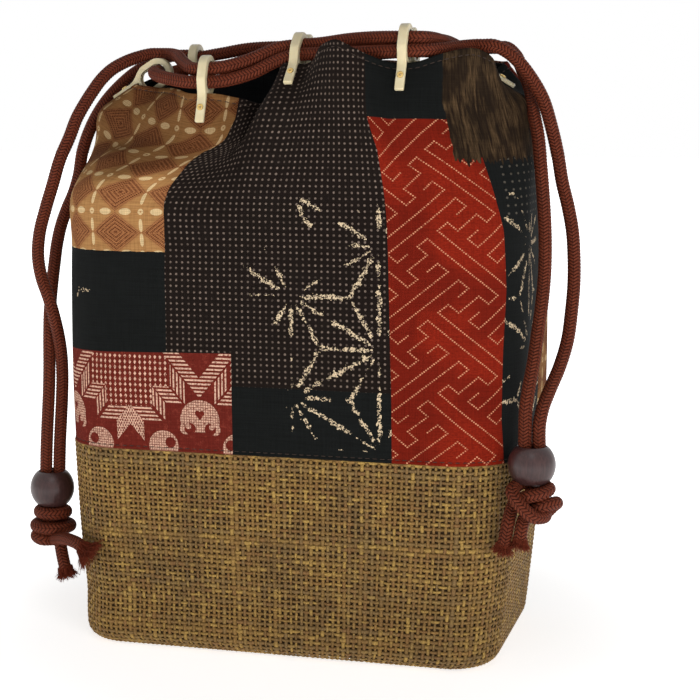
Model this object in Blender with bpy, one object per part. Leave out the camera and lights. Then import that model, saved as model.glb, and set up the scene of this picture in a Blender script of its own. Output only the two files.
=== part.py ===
"""A drawstring bag of the gassai kind: a patchwork cloth sack on a woven band with a stiff base.

Two round cords run through eight riveted tabs at the mouth. Each cord's two ends leave at one
side, hang down as a handle, pass through a wooden bead and end in a knot with frayed tails.
Metres, +Z up, front towards -Y, origin under the middle of the base.
"""

import math

import bmesh
import bpy
from mathutils import Matrix, Vector
from mathutils.geometry import tessellate_polygon

# The sack
BAG_WIDTH = 0.201
BAG_DEPTH = 0.1145
BAG_HEIGHT = 0.257
BAND_HEIGHT = 0.088
BOTTOM_ROUND = 0.0072

# Thicknesses, and the gap left between pieces that touch
CLOTH = 0.0008
LINING = 0.0005
WEAVE = 0.0012
BASE_BOARD = 0.002
GAP = 0.0003
LINING_EASE = 0.0005

# The moulded tabs, measured along each tab from its rivet
TAB_WIDTH = 0.0042
TAB_LEG_END = 0.0062
TAB_HEM_OFFSET = 0.0064
TAB_SLOT_CLEARANCE = 0.0006
TAB_LEG = 0.0016
TAB_WEB = 0.0010
TAB_BAND = 0.0020
TAB_HOLE_WIDTH = 0.0088
TAB_HOLE_HEIGHT = 0.0134
TAB_SHOULDER_SHARE = 0.28
TAB_PATCH = 0.010
TAB_PATCH_DROP = 0.018
SHOULDER_SHARE = 0.06

# The rivets
RIVET_SHANK = 0.0016
RIVET_HEAD = 0.0027
RIVET_HEAD_HEIGHT = 0.00045
RIVET_BORE_SHARE = 0.45

# The cords, beads and knots
CORD = 0.0055
BEAD_WIDTH = 0.0206
BEAD_HEIGHT = 0.0147
BEAD_BORE = 0.0119
MOUTH_SPACING_SHARE = 1.4
RUN_SPACING_SHARE = 2.2
KNOT_WRAP_SHARES = (1.12, 1.42)
KNOT_DROP_SHARES = (0.56, 1.68)
TAIL_FLARE_SHARES = (1.0, 1.0, 1.15, 1.5)

# Round pieces have this many sides
TURNED_SIDES = 24
RIVET_SIDES = 8
HOLE_SIDES = 16
KNOT_SIDES = 8
CORNER_STEPS = 8
BOTTOM_STEPS = 4
WRAP_STEPS = 16
CURVE_STEPS = 8
CUT_OVERRUN = 0.004

HALF_WIDTH = BAG_WIDTH / 2
HALF_DEPTH = BAG_DEPTH / 2
CLOTH_HEIGHT = BAG_HEIGHT - BAND_HEIGHT
CORD_RADIUS = CORD / 2

# Cross-sections: height as a share of the band or of the cloth above it, then the half width,
# the half depth and the corner radius as shares of half the bag's width, depth and depth
BAND_SHARES = (
    (0.27, 0.938, 0.945, 0.39),
    (0.52, 0.961, 0.960, 0.42),
    (0.77, 0.978, 0.970, 0.45),
    (1.00, 0.991, 0.980, 0.48),
)
FOOT_SHARES = (0.919, 0.935, 0.37)
CLOTH_SHARES = (
    (0.000, 0.991, 0.980, 0.48),
    (0.140, 0.997, 0.993, 0.50),
    (0.310, 1.000, 1.000, 0.53),
    (0.485, 1.000, 1.000, 0.57),
    (0.627, 0.998, 0.985, 0.62),
)

# The hem, as it lies with the cords half drawn. Each row is one fold line or tab: where it starts
# on the sack as a share of the way round from the left side, then the hem's place as shares of
# half the width, half the depth and the height, then the way it faces and leans in, in degrees
HEM_SHARES = {
    "left": (0.014, -0.748, -0.140, 0.9346, -90, 58),
    "left_fold_a": (0.052, -0.627, -0.314, 0.9292, -60, 50),
    "left_fold_b": (0.091, -0.488, -0.559, 0.9268, -35, 38),
    "front_left": (0.131, -0.328, -0.744, 0.9183, 0, 21),
    "valley_a": (0.162, -0.189, -0.664, 0.9113, -5, 30),
    "valley_b": (0.192, -0.097, -0.506, 0.9047, -15, 48),
    "valley_c": (0.220, -0.032, -0.541, 0.9358, -30, 48),
    "front_middle": (0.244, 0.050, -0.667, 0.9661, 0, 47),
    "peak_a": (0.2785, 0.204, -0.891, 0.9942, -25, 10),
    "peak_b": (0.300, 0.279, -0.996, 1.0000, 5, 2),
    "peak_c": (0.3176, 0.348, -0.934, 0.9864, 20, 10),
    "peak_d": (0.333, 0.408, -0.856, 0.9747, 5, 22),
    "front_right": (0.358, 0.517, -0.777, 0.9669, 0, 26),
    "corner_a": (0.387, 0.657, -0.716, 0.9786, 15, 20),
    "corner_b": (0.419, 0.781, -0.541, 0.9883, 40, 10),
    "corner_c": (0.452, 0.836, -0.297, 0.9681, 70, 25),
    "right": (0.485, 0.786, -0.087, 0.9533, 90, 58),
    "right_seam": (0.5166, 0.836, 0.175, 0.9689, 100, 42),
    "back_corner_a": (0.562, 0.786, 0.472, 0.9728, 135, 28),
    "back_corner_b": (0.602, 0.577, 0.664, 0.9786, 165, 20),
    "back_right": (0.642, 0.383, 0.638, 0.9747, 180, 35),
    "back_fold_a": (0.681, 0.239, 0.716, 0.9767, 175, 20),
    "back_fold_b": (0.717, 0.080, 0.716, 0.9728, 185, 20),
    "back_middle": (0.756, -0.090, 0.629, 0.9669, 180, 40),
    "back_fold_c": (0.794, -0.239, 0.734, 0.9767, 180, 15),
    "back_fold_d": (0.831, -0.428, 0.786, 0.9875, 185, 8),
    "back_left": (0.869, -0.607, 0.576, 0.9467, 180, 30),
    "back_corner_c": (0.9145, -0.756, 0.419, 0.9494, 220, 35),
    "left_seam": (0.963, -0.796, 0.140, 0.9377, 255, 48),
}
TABS = (
    "left",
    "front_left",
    "front_middle",
    "front_right",
    "right",
    "back_right",
    "back_middle",
    "back_left",
)
SEAMS = ("right_seam", "left_seam")

# The cords' routes, chosen by hand. The left cord lies in the upper half of the front and back
# tabs and turns through the right tab, and the right cord is its mirror, one cord lower
LEFT_CORD_MOUTH = (
    (-0.0680, -0.0012, 0.2534),
    (-0.0650, -0.0012, 0.2534),
    (-0.0615, -0.0030, 0.2532),
    (-0.0585, -0.0060, 0.2527),
    (-0.0545, -0.0125, 0.2516),
    (-0.0500, -0.0210, 0.2499),
    (-0.0450, -0.0295, 0.2480),
    (-0.0395, -0.0366, 0.2465),
    (-0.0330, -0.0387, 0.2463),
    (-0.0250, -0.0383, 0.2472),
    (-0.0130, -0.0343, 0.2509),
    (-0.0040, -0.0310, 0.2548),
    (0.0050, -0.0302, 0.2559),
    (0.0140, -0.0310, 0.2565),
    (0.0280, -0.0345, 0.2580),
    (0.0420, -0.0386, 0.2585),
    (0.0520, -0.0397, 0.2584),
    (0.0575, -0.0381, 0.2584),
    (0.0617, -0.0312, 0.2581),
    (0.0647, -0.0215, 0.2564),
    (0.0684, -0.0135, 0.2524),
    (0.0699, -0.0092, 0.2509),
    (0.0700, -0.0050, 0.2506),
    (0.0697, 0.0000, 0.2509),
    (0.0655, 0.0100, 0.2542),
    (0.0600, 0.0175, 0.2572),
    (0.0535, 0.0242, 0.2592),
    (0.0465, 0.0288, 0.2597),
    (0.0385, 0.0302, 0.2595),
    (0.0270, 0.0300, 0.2592),
    (0.0140, 0.0296, 0.2582),
    (0.0020, 0.0288, 0.2573),
    (-0.0090, 0.0289, 0.2569),
    (-0.0220, 0.0297, 0.2570),
    (-0.0380, 0.0294, 0.2562),
    (-0.0510, 0.0283, 0.2540),
    (-0.0610, 0.0275, 0.2528),
    (-0.0650, 0.0270, 0.2534),
    (-0.0680, 0.0270, 0.2534),
)
RIGHT_CORD_MOUTH = (
    (0.0800, -0.0192, 0.2556),
    (0.0770, -0.0192, 0.2556),
    (0.0735, -0.0210, 0.2553),
    (0.0708, -0.0240, 0.2549),
    (0.0683, -0.0282, 0.2544),
    (0.0650, -0.0340, 0.2538),
    (0.0595, -0.0400, 0.2533),
    (0.0520, -0.0422, 0.2532),
    (0.0420, -0.0415, 0.2529),
    (0.0280, -0.0382, 0.2526),
    (0.0140, -0.0352, 0.2524),
    (0.0050, -0.0344, 0.2519),
    (-0.0035, -0.0351, 0.2495),
    (-0.0130, -0.0377, 0.2448),
    (-0.0250, -0.0402, 0.2415),
    (-0.0330, -0.0407, 0.2409),
    (-0.0405, -0.0399, 0.2411),
    (-0.0490, -0.0360, 0.2422),
    (-0.0580, -0.0280, 0.2437),
    (-0.0640, -0.0180, 0.2452),
    (-0.0662, -0.0080, 0.2458),
    (-0.0680, 0.0030, 0.2454),
    (-0.0710, 0.0130, 0.2450),
    (-0.0715, 0.0220, 0.2457),
    (-0.0675, 0.0288, 0.2472),
    (-0.0610, 0.0304, 0.2478),
    (-0.0540, 0.0314, 0.2482),
    (-0.0480, 0.0328, 0.2487),
    (-0.0350, 0.0344, 0.2500),
    (-0.0200, 0.0335, 0.2520),
    (-0.0090, 0.0327, 0.2525),
    (0.0050, 0.0336, 0.2529),
    (0.0220, 0.0346, 0.2539),
    (0.0385, 0.0335, 0.2548),
    (0.0500, 0.0323, 0.2546),
    (0.0590, 0.0293, 0.2543),
    (0.0658, 0.0238, 0.2543),
    (0.0706, 0.0170, 0.2547),
    (0.0736, 0.0136, 0.2552),
    (0.0770, 0.0120, 0.2556),
    (0.0800, 0.0120, 0.2556),
)
LEFT_FRONT_RUN = (
    (-0.0680, -0.0012, 0.2534),
    (-0.0715, -0.0012, 0.2534),
    (-0.0770, -0.0035, 0.2521),
    (-0.0817, -0.0075, 0.2499),
    (-0.0860, -0.0115, 0.2468),
    (-0.0893, -0.0155, 0.2426),
    (-0.0922, -0.0195, 0.2370),
    (-0.0949, -0.0230, 0.2311),
    (-0.0970, -0.0255, 0.2260),
    (-0.0995, -0.0285, 0.2175),
    (-0.1030, -0.0310, 0.2082),
    (-0.1062, -0.0320, 0.1975),
    (-0.1095, -0.0328, 0.1870),
    (-0.1125, -0.0335, 0.1760),
    (-0.1133, -0.0342, 0.1670),
    (-0.1117, -0.0358, 0.1580),
    (-0.1087, -0.0362, 0.1480),
    (-0.1072, -0.0348, 0.1370),
    (-0.1070, -0.0325, 0.1260),
    (-0.1075, -0.0305, 0.1140),
    (-0.1076, -0.0302, 0.1060),
    (-0.1076, -0.0302, 0.0800),
    (-0.1076, -0.0302, 0.0552),
)
LEFT_BACK_RUN = (
    (-0.0680, 0.0270, 0.2534),
    (-0.0715, 0.0270, 0.2534),
    (-0.0780, 0.0230, 0.2512),
    (-0.0845, 0.0165, 0.2470),
    (-0.0910, 0.0095, 0.2400),
    (-0.0965, 0.0030, 0.2315),
    (-0.1010, -0.0025, 0.2205),
    (-0.1035, -0.0060, 0.2100),
    (-0.1046, -0.0080, 0.2000),
    (-0.1066, -0.0093, 0.1925),
    (-0.1095, -0.0105, 0.1855),
    (-0.1115, -0.0130, 0.1780),
    (-0.1121, -0.0165, 0.1705),
    (-0.1118, -0.0210, 0.1620),
    (-0.1118, -0.0258, 0.1515),
    (-0.1125, -0.0290, 0.1400),
    (-0.1130, -0.0308, 0.1280),
    (-0.1132, -0.0316, 0.1150),
    (-0.1132, -0.0318, 0.1060),
    (-0.1132, -0.0318, 0.0800),
    (-0.1132, -0.0318, 0.0552),
)
RIGHT_FRONT_RUN = (
    (0.0800, -0.0192, 0.2556),
    (0.0835, -0.0192, 0.2556),
    (0.0895, -0.0182, 0.2530),
    (0.0940, -0.0170, 0.2490),
    (0.0987, -0.0160, 0.2430),
    (0.1036, -0.0150, 0.2346),
    (0.1073, -0.0145, 0.2233),
    (0.1103, -0.0145, 0.2112),
    (0.1124, -0.0152, 0.2003),
    (0.1151, -0.0160, 0.1903),
    (0.1172, -0.0170, 0.1802),
    (0.1182, -0.0185, 0.1702),
    (0.1187, -0.0210, 0.1590),
    (0.1183, -0.0240, 0.1479),
    (0.1175, -0.0282, 0.1369),
    (0.1151, -0.0330, 0.1265),
    (0.1120, -0.0385, 0.1175),
    (0.1100, -0.0430, 0.1108),
    (0.1092, -0.0450, 0.1055),
    (0.1092, -0.0452, 0.0930),
    (0.1092, -0.0452, 0.0805),
)
RIGHT_BACK_RUN = (
    (0.0800, 0.0120, 0.2556),
    (0.0835, 0.0120, 0.2556),
    (0.0883, 0.0090, 0.2523),
    (0.0920, 0.0040, 0.2463),
    (0.0965, -0.0035, 0.2388),
    (0.0997, -0.0120, 0.2285),
    (0.1025, -0.0170, 0.2185),
    (0.1040, -0.0202, 0.2095),
    (0.1055, -0.0230, 0.1986),
    (0.1068, -0.0252, 0.1868),
    (0.1076, -0.0270, 0.1750),
    (0.1077, -0.0285, 0.1631),
    (0.1072, -0.0318, 0.1509),
    (0.1063, -0.0355, 0.1399),
    (0.1056, -0.0398, 0.1292),
    (0.1044, -0.0440, 0.1188),
    (0.1037, -0.0463, 0.1111),
    (0.1036, -0.0468, 0.1050),
    (0.1036, -0.0468, 0.0930),
    (0.1036, -0.0468, 0.0805),
)
LEFT_TAILS = (
    (
        (-0.1075, -0.0320, 0.0460),
        (-0.1060, -0.0335, 0.0400),
        (-0.1045, -0.0342, 0.0320),
        (-0.1030, -0.0345, 0.0235),
    ),
    (
        (-0.1090, -0.0320, 0.0460),
        (-0.1050, -0.0385, 0.0420),
        (-0.0985, -0.0480, 0.0420),
        (-0.0905, -0.0560, 0.0410),
    ),
)
RIGHT_TAILS = (
    (
        (0.1050, -0.0470, 0.0720),
        (0.1005, -0.0500, 0.0670),
        (0.0985, -0.0515, 0.0600),
        (0.0965, -0.0520, 0.0520),
    ),
    (
        (0.1070, -0.0470, 0.0720),
        (0.1060, -0.0510, 0.0670),
        (0.1055, -0.0530, 0.0610),
        (0.1050, -0.0535, 0.0545),
    ),
)


def clear_scene():
    for thing in list(bpy.data.objects):
        bpy.data.objects.remove(thing)


def material(name, colour, roughness, metallic=0.0):
    """A plain Principled material."""
    made = bpy.data.materials.new(name)
    made.use_nodes = True
    shader = made.node_tree.nodes["Principled BSDF"]
    shader.inputs["Base Color"].default_value = (*colour, 1.0)
    shader.inputs["Roughness"].default_value = roughness
    shader.inputs["Metallic"].default_value = metallic
    return made


def mesh_object(name, points, faces, finish, smooth=True):
    """An object from points and faces, with its faces turned outwards."""
    shape = bmesh.new()
    corners = [shape.verts.new(point) for point in points]
    for face in faces:
        shape.faces.new([corners[i] for i in face])
    bmesh.ops.recalc_face_normals(shape, faces=shape.faces)
    data = bpy.data.meshes.new(name)
    shape.to_mesh(data)
    shape.free()
    if smooth:
        data.shade_smooth()
        data.set_sharp_from_angle(angle=math.radians(35))
    data.materials.append(finish)
    made = bpy.data.objects.new(name, data)
    bpy.context.scene.collection.objects.link(made)
    return made


def smooth_run(points, steps, closed=False):
    """Points read from a smooth curve through the given ones, in steps along each stretch."""
    points = [Vector(point) for point in points]
    count = len(points)

    def at(index):
        return points[index % count] if closed else points[min(max(index, 0), count - 1)]

    def slope(index):
        before = (at(index) - at(index - 1)).length
        after = (at(index + 1) - at(index)).length
        if before == 0:
            return (at(index + 1) - at(index)) / after
        if after == 0:
            return (at(index) - at(index - 1)) / before
        ahead = (at(index + 1) - at(index)) / after
        behind = (at(index) - at(index - 1)) / before
        return (ahead * before + behind * after) / (before + after)

    made = []
    for index in range(count if closed else count - 1):
        start, end = at(index), at(index + 1)
        span = (end - start).length
        number = steps(index) if callable(steps) else steps
        for step in range(number):
            t = step / number
            made.append(
                start * (2 * t**3 - 3 * t**2 + 1)
                + slope(index) * span * (t**3 - 2 * t**2 + t)
                + end * (3 * t**2 - 2 * t**3)
                + slope(index + 1) * span * (t**3 - t**2)
            )
    if not closed:
        made.append(points[-1])
    return made


def perimeter(half_width, half_depth, corner):
    return 4 * (half_width + half_depth - 2 * corner) + 2 * math.pi * corner


def section_point(half_width, half_depth, corner, distance):
    """A point on a rounded rectangle, a distance round it from the middle of its left side."""
    distance %= perimeter(half_width, half_depth, corner)
    end, front, arc = half_depth - corner, 2 * (half_width - corner), math.pi / 2 * corner
    x, y = half_width - corner, half_depth - corner
    stretches = (
        (end, Vector((-half_width, 0)), Vector((0, -1)), None),
        (arc, None, None, (Vector((-x, -y)), math.pi)),
        (front, Vector((-x, -half_depth)), Vector((1, 0)), None),
        (arc, None, None, (Vector((x, -y)), math.pi * 3 / 2)),
        (2 * end, Vector((half_width, -y)), Vector((0, 1)), None),
        (arc, None, None, (Vector((x, y)), 0)),
        (front, Vector((x, half_depth)), Vector((-1, 0)), None),
        (arc, None, None, (Vector((-x, y)), math.pi / 2)),
        (end, Vector((-half_width, y)), Vector((0, -1)), None),
    )
    for length, start, way, turn in stretches:
        if distance <= length:
            break
        distance -= length
    if turn is None:
        return start + way * distance
    centre, angle = turn
    angle += distance / corner
    return centre + Vector((math.cos(angle), math.sin(angle))) * corner


def facing(degrees):
    """The level direction that something facing this way looks in: 0 is the front, 90 the right."""
    angle = math.radians(degrees)
    return Vector((math.sin(angle), -math.cos(angle), 0))


def hem_frame(name):
    """The hem's place at a fold line or tab, with its along, outward and upward directions there."""
    _, x, y, z, way, lean = HEM_SHARES[name]
    place = Vector((x * HALF_WIDTH, y * HALF_DEPTH, z * BAG_HEIGHT))
    outward = facing(way)
    tilt = math.radians(lean)
    upward = Vector((0, 0, math.cos(tilt))) - outward * math.sin(tilt)
    normal = outward * math.cos(tilt) + Vector((0, 0, math.sin(tilt)))
    along = upward.cross(normal)
    return place, along, normal, upward


def fold_columns():
    """The sack's fold lines: (row name, offset along the hem, whether the next one is on the same tab)."""
    columns = []
    for name in HEM_SHARES:
        if name in TABS:
            columns += [(name, -TAB_PATCH / 2, True), (name, TAB_PATCH / 2, False)]
        else:
            columns.append((name, 0, False))
    return columns


def cloth_top(name, offset, start):
    """The points of one fold line above the last full section, from the shoulder to the hem."""
    place, along, _, upward = hem_frame(name)
    hem = place + along * offset
    low = hem - upward * TAB_PATCH_DROP
    bulge = (low - start).length * SHOULDER_SHARE
    shoulder = (start + low) / 2 + (Vector((0, 0, 1)) - upward) * bulge
    return [shoulder, low, hem]


def sack_grid():
    """Rows of points for the cloth from the band's top edge to the hem, their outward directions,
    the places of the side seams and each column's share of the way round."""
    columns = fold_columns()
    same_tab = [same for _, _, same in columns]
    starts, count = [], 0
    for same in same_tab:
        starts.append(count)
        count += 1 if same else 2

    grid, normals = [], []
    for height, width, depth, corner in CLOTH_SHARES:
        sizes = (width * HALF_WIDTH, depth * HALF_DEPTH, corner * HALF_DEPTH)
        around = perimeter(*sizes)
        places = [HEM_SHARES[name][0] * around + offset for name, offset, _ in columns]
        finer = []
        for i, same in enumerate(same_tab):
            after = places[i + 1] if i + 1 < len(places) else places[0] + around
            finer += [places[i]] if same else [places[i], (places[i] + after) / 2]
        level = BAND_HEIGHT + height * CLOTH_HEIGHT
        grid.append([Vector((*section_point(*sizes, place), level)) for place in finer])
        line = []
        for place in finer:
            along = section_point(*sizes, place + CLOTH) - section_point(*sizes, place - CLOTH)
            line.append(Vector((along.y, -along.x, 0)).normalized())
        normals.append(line)
        if not height:
            shares = [place / around for place in finer]

    tops = [cloth_top(name, offset, grid[-1][start]) for (name, offset, _), start in zip(columns, starts)]
    for row in range(len(tops[0])):
        ring = [top[row] for top in tops]
        grid.append(smooth_run(ring, lambda index: 1 if same_tab[index] else 2, closed=True))
    for row in range(len(CLOTH_SHARES), len(grid)):
        points, below = grid[row], grid[row - 1]
        above = grid[min(row + 1, len(grid) - 1)]
        line = []
        for i in range(count):
            around = points[(i + 1) % count] - points[i - 1]
            line.append(around.cross(above[i] - below[i]).normalized())
        normals.append(line)
    for (name, _, _), start in zip(columns, starts):
        if name in TABS:
            flat = hem_frame(name)[2]
            normals[-2][start] = normals[-1][start] = flat
    seams = [starts[i] for i, (name, _, _) in enumerate(columns) if name in SEAMS]
    return grid, normals, seams, shares


def band_rings(inset):
    """Rings of points up the woven band at a depth under its face, from the rounded bottom edge."""
    rings = []
    width, depth, corner = FOOT_SHARES
    for step in range(BOTTOM_STEPS):
        angle = math.pi / 2 * step / (BOTTOM_STEPS - 1)
        bend = BOTTOM_ROUND - inset
        back = BOTTOM_ROUND - bend * math.sin(angle)
        height = BOTTOM_ROUND - bend * math.cos(angle)
        rings.append(
            (
                height,
                width * HALF_WIDTH - back,
                depth * HALF_DEPTH - back,
                corner * HALF_DEPTH - back,
            )
        )
    for height, width, depth, corner in BAND_SHARES:
        rings.append(
            (
                height * BAND_HEIGHT,
                width * HALF_WIDTH - inset,
                depth * HALF_DEPTH - inset,
                corner * HALF_DEPTH - inset,
            )
        )
    return rings


def ring_points(height, half_width, half_depth, corner, shares):
    around = perimeter(half_width, half_depth, corner)
    return [
        Vector((*section_point(half_width, half_depth, corner, share * around), height)) for share in shares
    ]


def even_shares():
    """Places round a section: even steps on the straights and on each rounded corner."""
    _, width, depth, corner = BAND_SHARES[-1]
    sizes = (width * HALF_WIDTH, depth * HALF_DEPTH, corner * HALF_DEPTH)
    around = perimeter(*sizes)
    end = sizes[1] - sizes[2]
    arc = math.pi / 2 * sizes[2]
    front = 2 * (sizes[0] - sizes[2])
    places = [0]
    for length, steps in ((end, 1), (arc, CORNER_STEPS), (front, 4), (arc, CORNER_STEPS), (end, 1)):
        places += [places[-1] + length * (step + 1) / steps for step in range(steps)]
    half = places[:-1]
    return [place / around for place in (*half, *(place + places[-1] for place in half))]


def split(a, b, step):
    """The two triangles between a pair of points in one row and the same pair in the row above."""
    return [(a, b, b + step), (a, b + step, a + step)]


def wall(name, outer, inner, finish, closed=True):
    """A closed solid between two grids of rows, open as a tube when closed, and a strip when not."""
    rows, count = len(outer), len(outer[0])
    points = [point for row in outer for point in row] + [point for row in inner for point in row]
    shift = rows * count
    faces = []
    for row in range(rows - 1):
        for i in range(count if closed else count - 1):
            a, b = row * count + i, row * count + (i + 1) % count
            faces += split(a, b, count)
            faces += [tuple(reversed([i + shift for i in face])) for face in split(a, b, count)]
    for i in range(count if closed else count - 1):
        a, b = i, (i + 1) % count
        faces.append((a, a + shift, b + shift, b))
        a, b = a + (rows - 1) * count, b + (rows - 1) * count
        faces.append((a, b, b + shift, a + shift))
    if not closed:
        for row in range(rows - 1):
            a, b = row * count, (row + 1) * count
            faces.append((a, b, b + shift, a + shift))
            a, b = a + count - 1, b + count - 1
            faces.append((a, a + shift, b + shift, b))
    return mesh_object(name, points, faces, finish)


def plate(name, outline, low, high, finish):
    """A flat plate on an outline of points."""
    count = len(outline)
    points = [Vector((p.x, p.y, low)) for p in outline] + [Vector((p.x, p.y, high)) for p in outline]
    faces = [tuple(reversed(range(count))), tuple(range(count, 2 * count))]
    for i in range(count):
        j = (i + 1) % count
        faces.append((i, j, j + count, i + count))
    return mesh_object(name, points, faces, finish, smooth=False)


def turned(name, profile, sides, finish, looped=False):
    """A turned solid about Z. The profile runs from axis to axis, or round a bore when looped."""
    points, rings = [], []
    for radius, height in profile:
        if radius == 0:
            rings.append([len(points)])
            points.append(Vector((0, 0, height)))
            continue
        rings.append(list(range(len(points), len(points) + sides)))
        for side in range(sides):
            angle = 2 * math.pi * side / sides
            points.append(Vector((radius * math.cos(angle), radius * math.sin(angle), height)))
    faces = []
    pairs = list(zip(rings, rings[1:])) + ([(rings[-1], rings[0])] if looped else [])
    for first, second in pairs:
        for side in range(sides):
            after = (side + 1) % sides
            if len(first) == 1:
                faces.append((first[0], second[side], second[after]))
            elif len(second) == 1:
                faces.append((first[side], first[after], second[0]))
            else:
                faces.append((first[side], first[after], second[after], second[side]))
    return mesh_object(name, points, faces, finish)


def sweep(name, line, radii, sides, finish, closed=False):
    """A closed tube along a line of points, with a radius at each of them."""
    count = len(line)
    points, normal = [], None
    for i, place in enumerate(line):
        if closed:
            way = (line[(i + 1) % count] - line[i - 1]).normalized()
        else:
            way = (line[min(i + 1, count - 1)] - line[max(i - 1, 0)]).normalized()
        if normal is None:
            normal = way.orthogonal()
        normal = (normal - way * normal.dot(way)).normalized()
        across = way.cross(normal)
        for side in range(sides):
            angle = 2 * math.pi * side / sides
            offset = normal * math.cos(angle) + across * math.sin(angle)
            points.append(place + offset * radii[i])
    faces = []
    for i in range(count if closed else count - 1):
        for side in range(sides):
            after = (side + 1) % sides
            low, high = i * sides, (i + 1) % count * sides
            faces.append((low + side, low + after, high + after, high + side))
    if not closed:
        faces.append(tuple(reversed(range(sides))))
        faces.append(tuple(range((count - 1) * sides, count * sides)))
    return mesh_object(name, points, faces, finish)


def helper(thing):
    """Hides a cutter, or a shape that another one takes in."""
    thing.hide_render = True
    thing.display_type = "WIRE"
    return thing


def combine(thing, other, operation):
    change = thing.modifiers.new(other.name, "BOOLEAN")
    change.operation = operation
    change.object = other
    change.solver = "EXACT"


def panel(name, grid, normals, first, last, finish):
    """One cloth panel between two side seams, with half the seam's gap at each edge."""
    count = len(grid[0])
    span = (last - first) % count + 1
    outer, inner = [], []
    for row, points in enumerate(grid):
        order = [(first + i) % count for i in range(span)]
        face = [points[i].copy() for i in order]
        back = [points[i] - normals[row][i] * CLOTH for i in order]
        for side in (face, back):
            side[0] += (side[1] - side[0]).normalized() * GAP / 2
            side[-1] += (side[-2] - side[-1]).normalized() * GAP / 2
        outer.append(face)
        inner.append(back)
    for side in (outer, inner):
        for i, point in enumerate(side[0]):
            point.z += GAP / 2
    return wall(name, outer, inner, finish, closed=False)


def tab_outline():
    """The tab's side view: outer outline with the slot for the hem, and the hole for the cords."""
    slot = CLOTH + GAP + LINING + TAB_SLOT_CLEARANCE
    leg = slot / 2 + TAB_LEG
    slot_top = TAB_HEM_OFFSET + TAB_SLOT_CLEARANCE
    hole_low = slot_top + TAB_WEB
    hole_radius = TAB_HOLE_WIDTH / 2
    ring = hole_radius + TAB_BAND
    low_centre = hole_low + hole_radius
    high_centre = hole_low + TAB_HOLE_HEIGHT - hole_radius
    shoulder = TAB_SHOULDER_SHARE * low_centre
    side = []
    for step in range(5):
        t = step / 4
        ease = t * t * (3 - 2 * t)
        side.append((leg + (ring - leg) * ease, shoulder + (low_centre - shoulder) * t))
    crown = []
    for step in range(1, HOLE_SIDES):
        angle = math.pi * step / HOLE_SIDES
        crown.append((ring * math.cos(angle), high_centre + ring * math.sin(angle)))
    outer = [(leg, -TAB_LEG_END), *side, (ring, high_centre), *crown, (-ring, high_centre)]
    outer += [(-r, a) for r, a in reversed(side)] + [(-leg, -TAB_LEG_END)]
    outer += [(-slot / 2, -TAB_LEG_END), (-slot / 2, slot_top)]
    outer += [(slot / 2, slot_top), (slot / 2, -TAB_LEG_END)]
    hole = []
    half = HOLE_SIDES // 2
    for step in range(HOLE_SIDES + 2):
        turn = step if step <= half else step - 1
        centre = high_centre if step <= half else low_centre
        angle = 2 * math.pi * turn / HOLE_SIDES
        hole.append((hole_radius * math.cos(angle), centre + hole_radius * math.sin(angle)))
    return outer, hole, leg


def tab_mesh(finish):
    """One tab, standing along Z with its rivet hole at the origin, its width along X and its face to +Y."""
    outer, hole, leg = tab_outline()
    loops = [[Vector((r, a, 0)) for r, a in loop] for loop in (outer, hole)]
    triangles = tessellate_polygon(loops)
    flat = [point for loop in loops for point in loop]
    count = len(flat)
    points = [Vector((side * TAB_WIDTH / 2, p.x, p.y)) for side in (-1, 1) for p in flat]
    faces = [tuple(t) for t in triangles] + [tuple(i + count for i in t) for t in triangles]
    start = 0
    for loop in loops:
        for i in range(len(loop)):
            a, b = start + i, start + (i + 1) % len(loop)
            faces.append((a, b, b + count, a + count))
        start += len(loop)
    made = mesh_object("tab_blank", points, faces, finish)
    reach = leg + CUT_OVERRUN
    bore = RIVET_SHANK / 2 + GAP
    profile = ((0, -reach), (bore, -reach), (bore, reach), (0, reach))
    drill = turned("tab_drill", profile, RIVET_SIDES, finish)
    drill.rotation_euler.x = math.pi / 2
    combine(made, helper(drill), "DIFFERENCE")
    bpy.context.view_layer.update()
    graph = bpy.context.evaluated_depsgraph_get()
    data = bpy.data.meshes.new_from_object(made.evaluated_get(graph))
    data.name = "tab"
    for thing in (made, drill):
        bpy.data.objects.remove(thing)
    return data, leg


def rivet_mesh(leg, finish):
    """One hollow rivet along Z, with a rolled head outside each leg of its tab."""
    shank, head, bore = RIVET_SHANK / 2, RIVET_HEAD / 2, RIVET_BORE_SHARE * RIVET_SHANK / 2
    seat, top = leg + GAP, leg + GAP + RIVET_HEAD_HEIGHT
    profile = (
        (bore, -top),
        (head, -top),
        (head, -seat),
        (shank, -seat),
        (shank, seat),
        (head, seat),
        (head, top),
        (bore, top),
    )
    made = turned("rivet_blank", profile, RIVET_SIDES, finish, looped=True)
    data = made.data
    bpy.data.objects.remove(made)
    return data


def tab_frame(name):
    """The placing of a tab: its rivet on the hem's cloth, facing out and leaning as the hem does there."""
    place, along, normal, upward = hem_frame(name)
    depth = (CLOTH + GAP + LINING) / 2
    seat = place - normal * depth - upward * TAB_HEM_OFFSET
    turn = Matrix((along, -normal, upward)).transposed()
    return Matrix.LocRotScale(seat, turn.to_quaternion(), None)


def evenly(line, spacing):
    """Points at even distances along a line of many points."""
    lengths = [0]
    for before, after in zip(line, line[1:]):
        lengths.append(lengths[-1] + (after - before).length)
    count = max(round(lengths[-1] / spacing), 2)
    made, place = [], 0
    for step in range(count):
        target = lengths[-1] * step / count
        while lengths[place + 1] < target:
            place += 1
        mix = (target - lengths[place]) / (lengths[place + 1] - lengths[place])
        made.append(line[place].lerp(line[place + 1], mix))
    return [*made, line[-1]]


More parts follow.
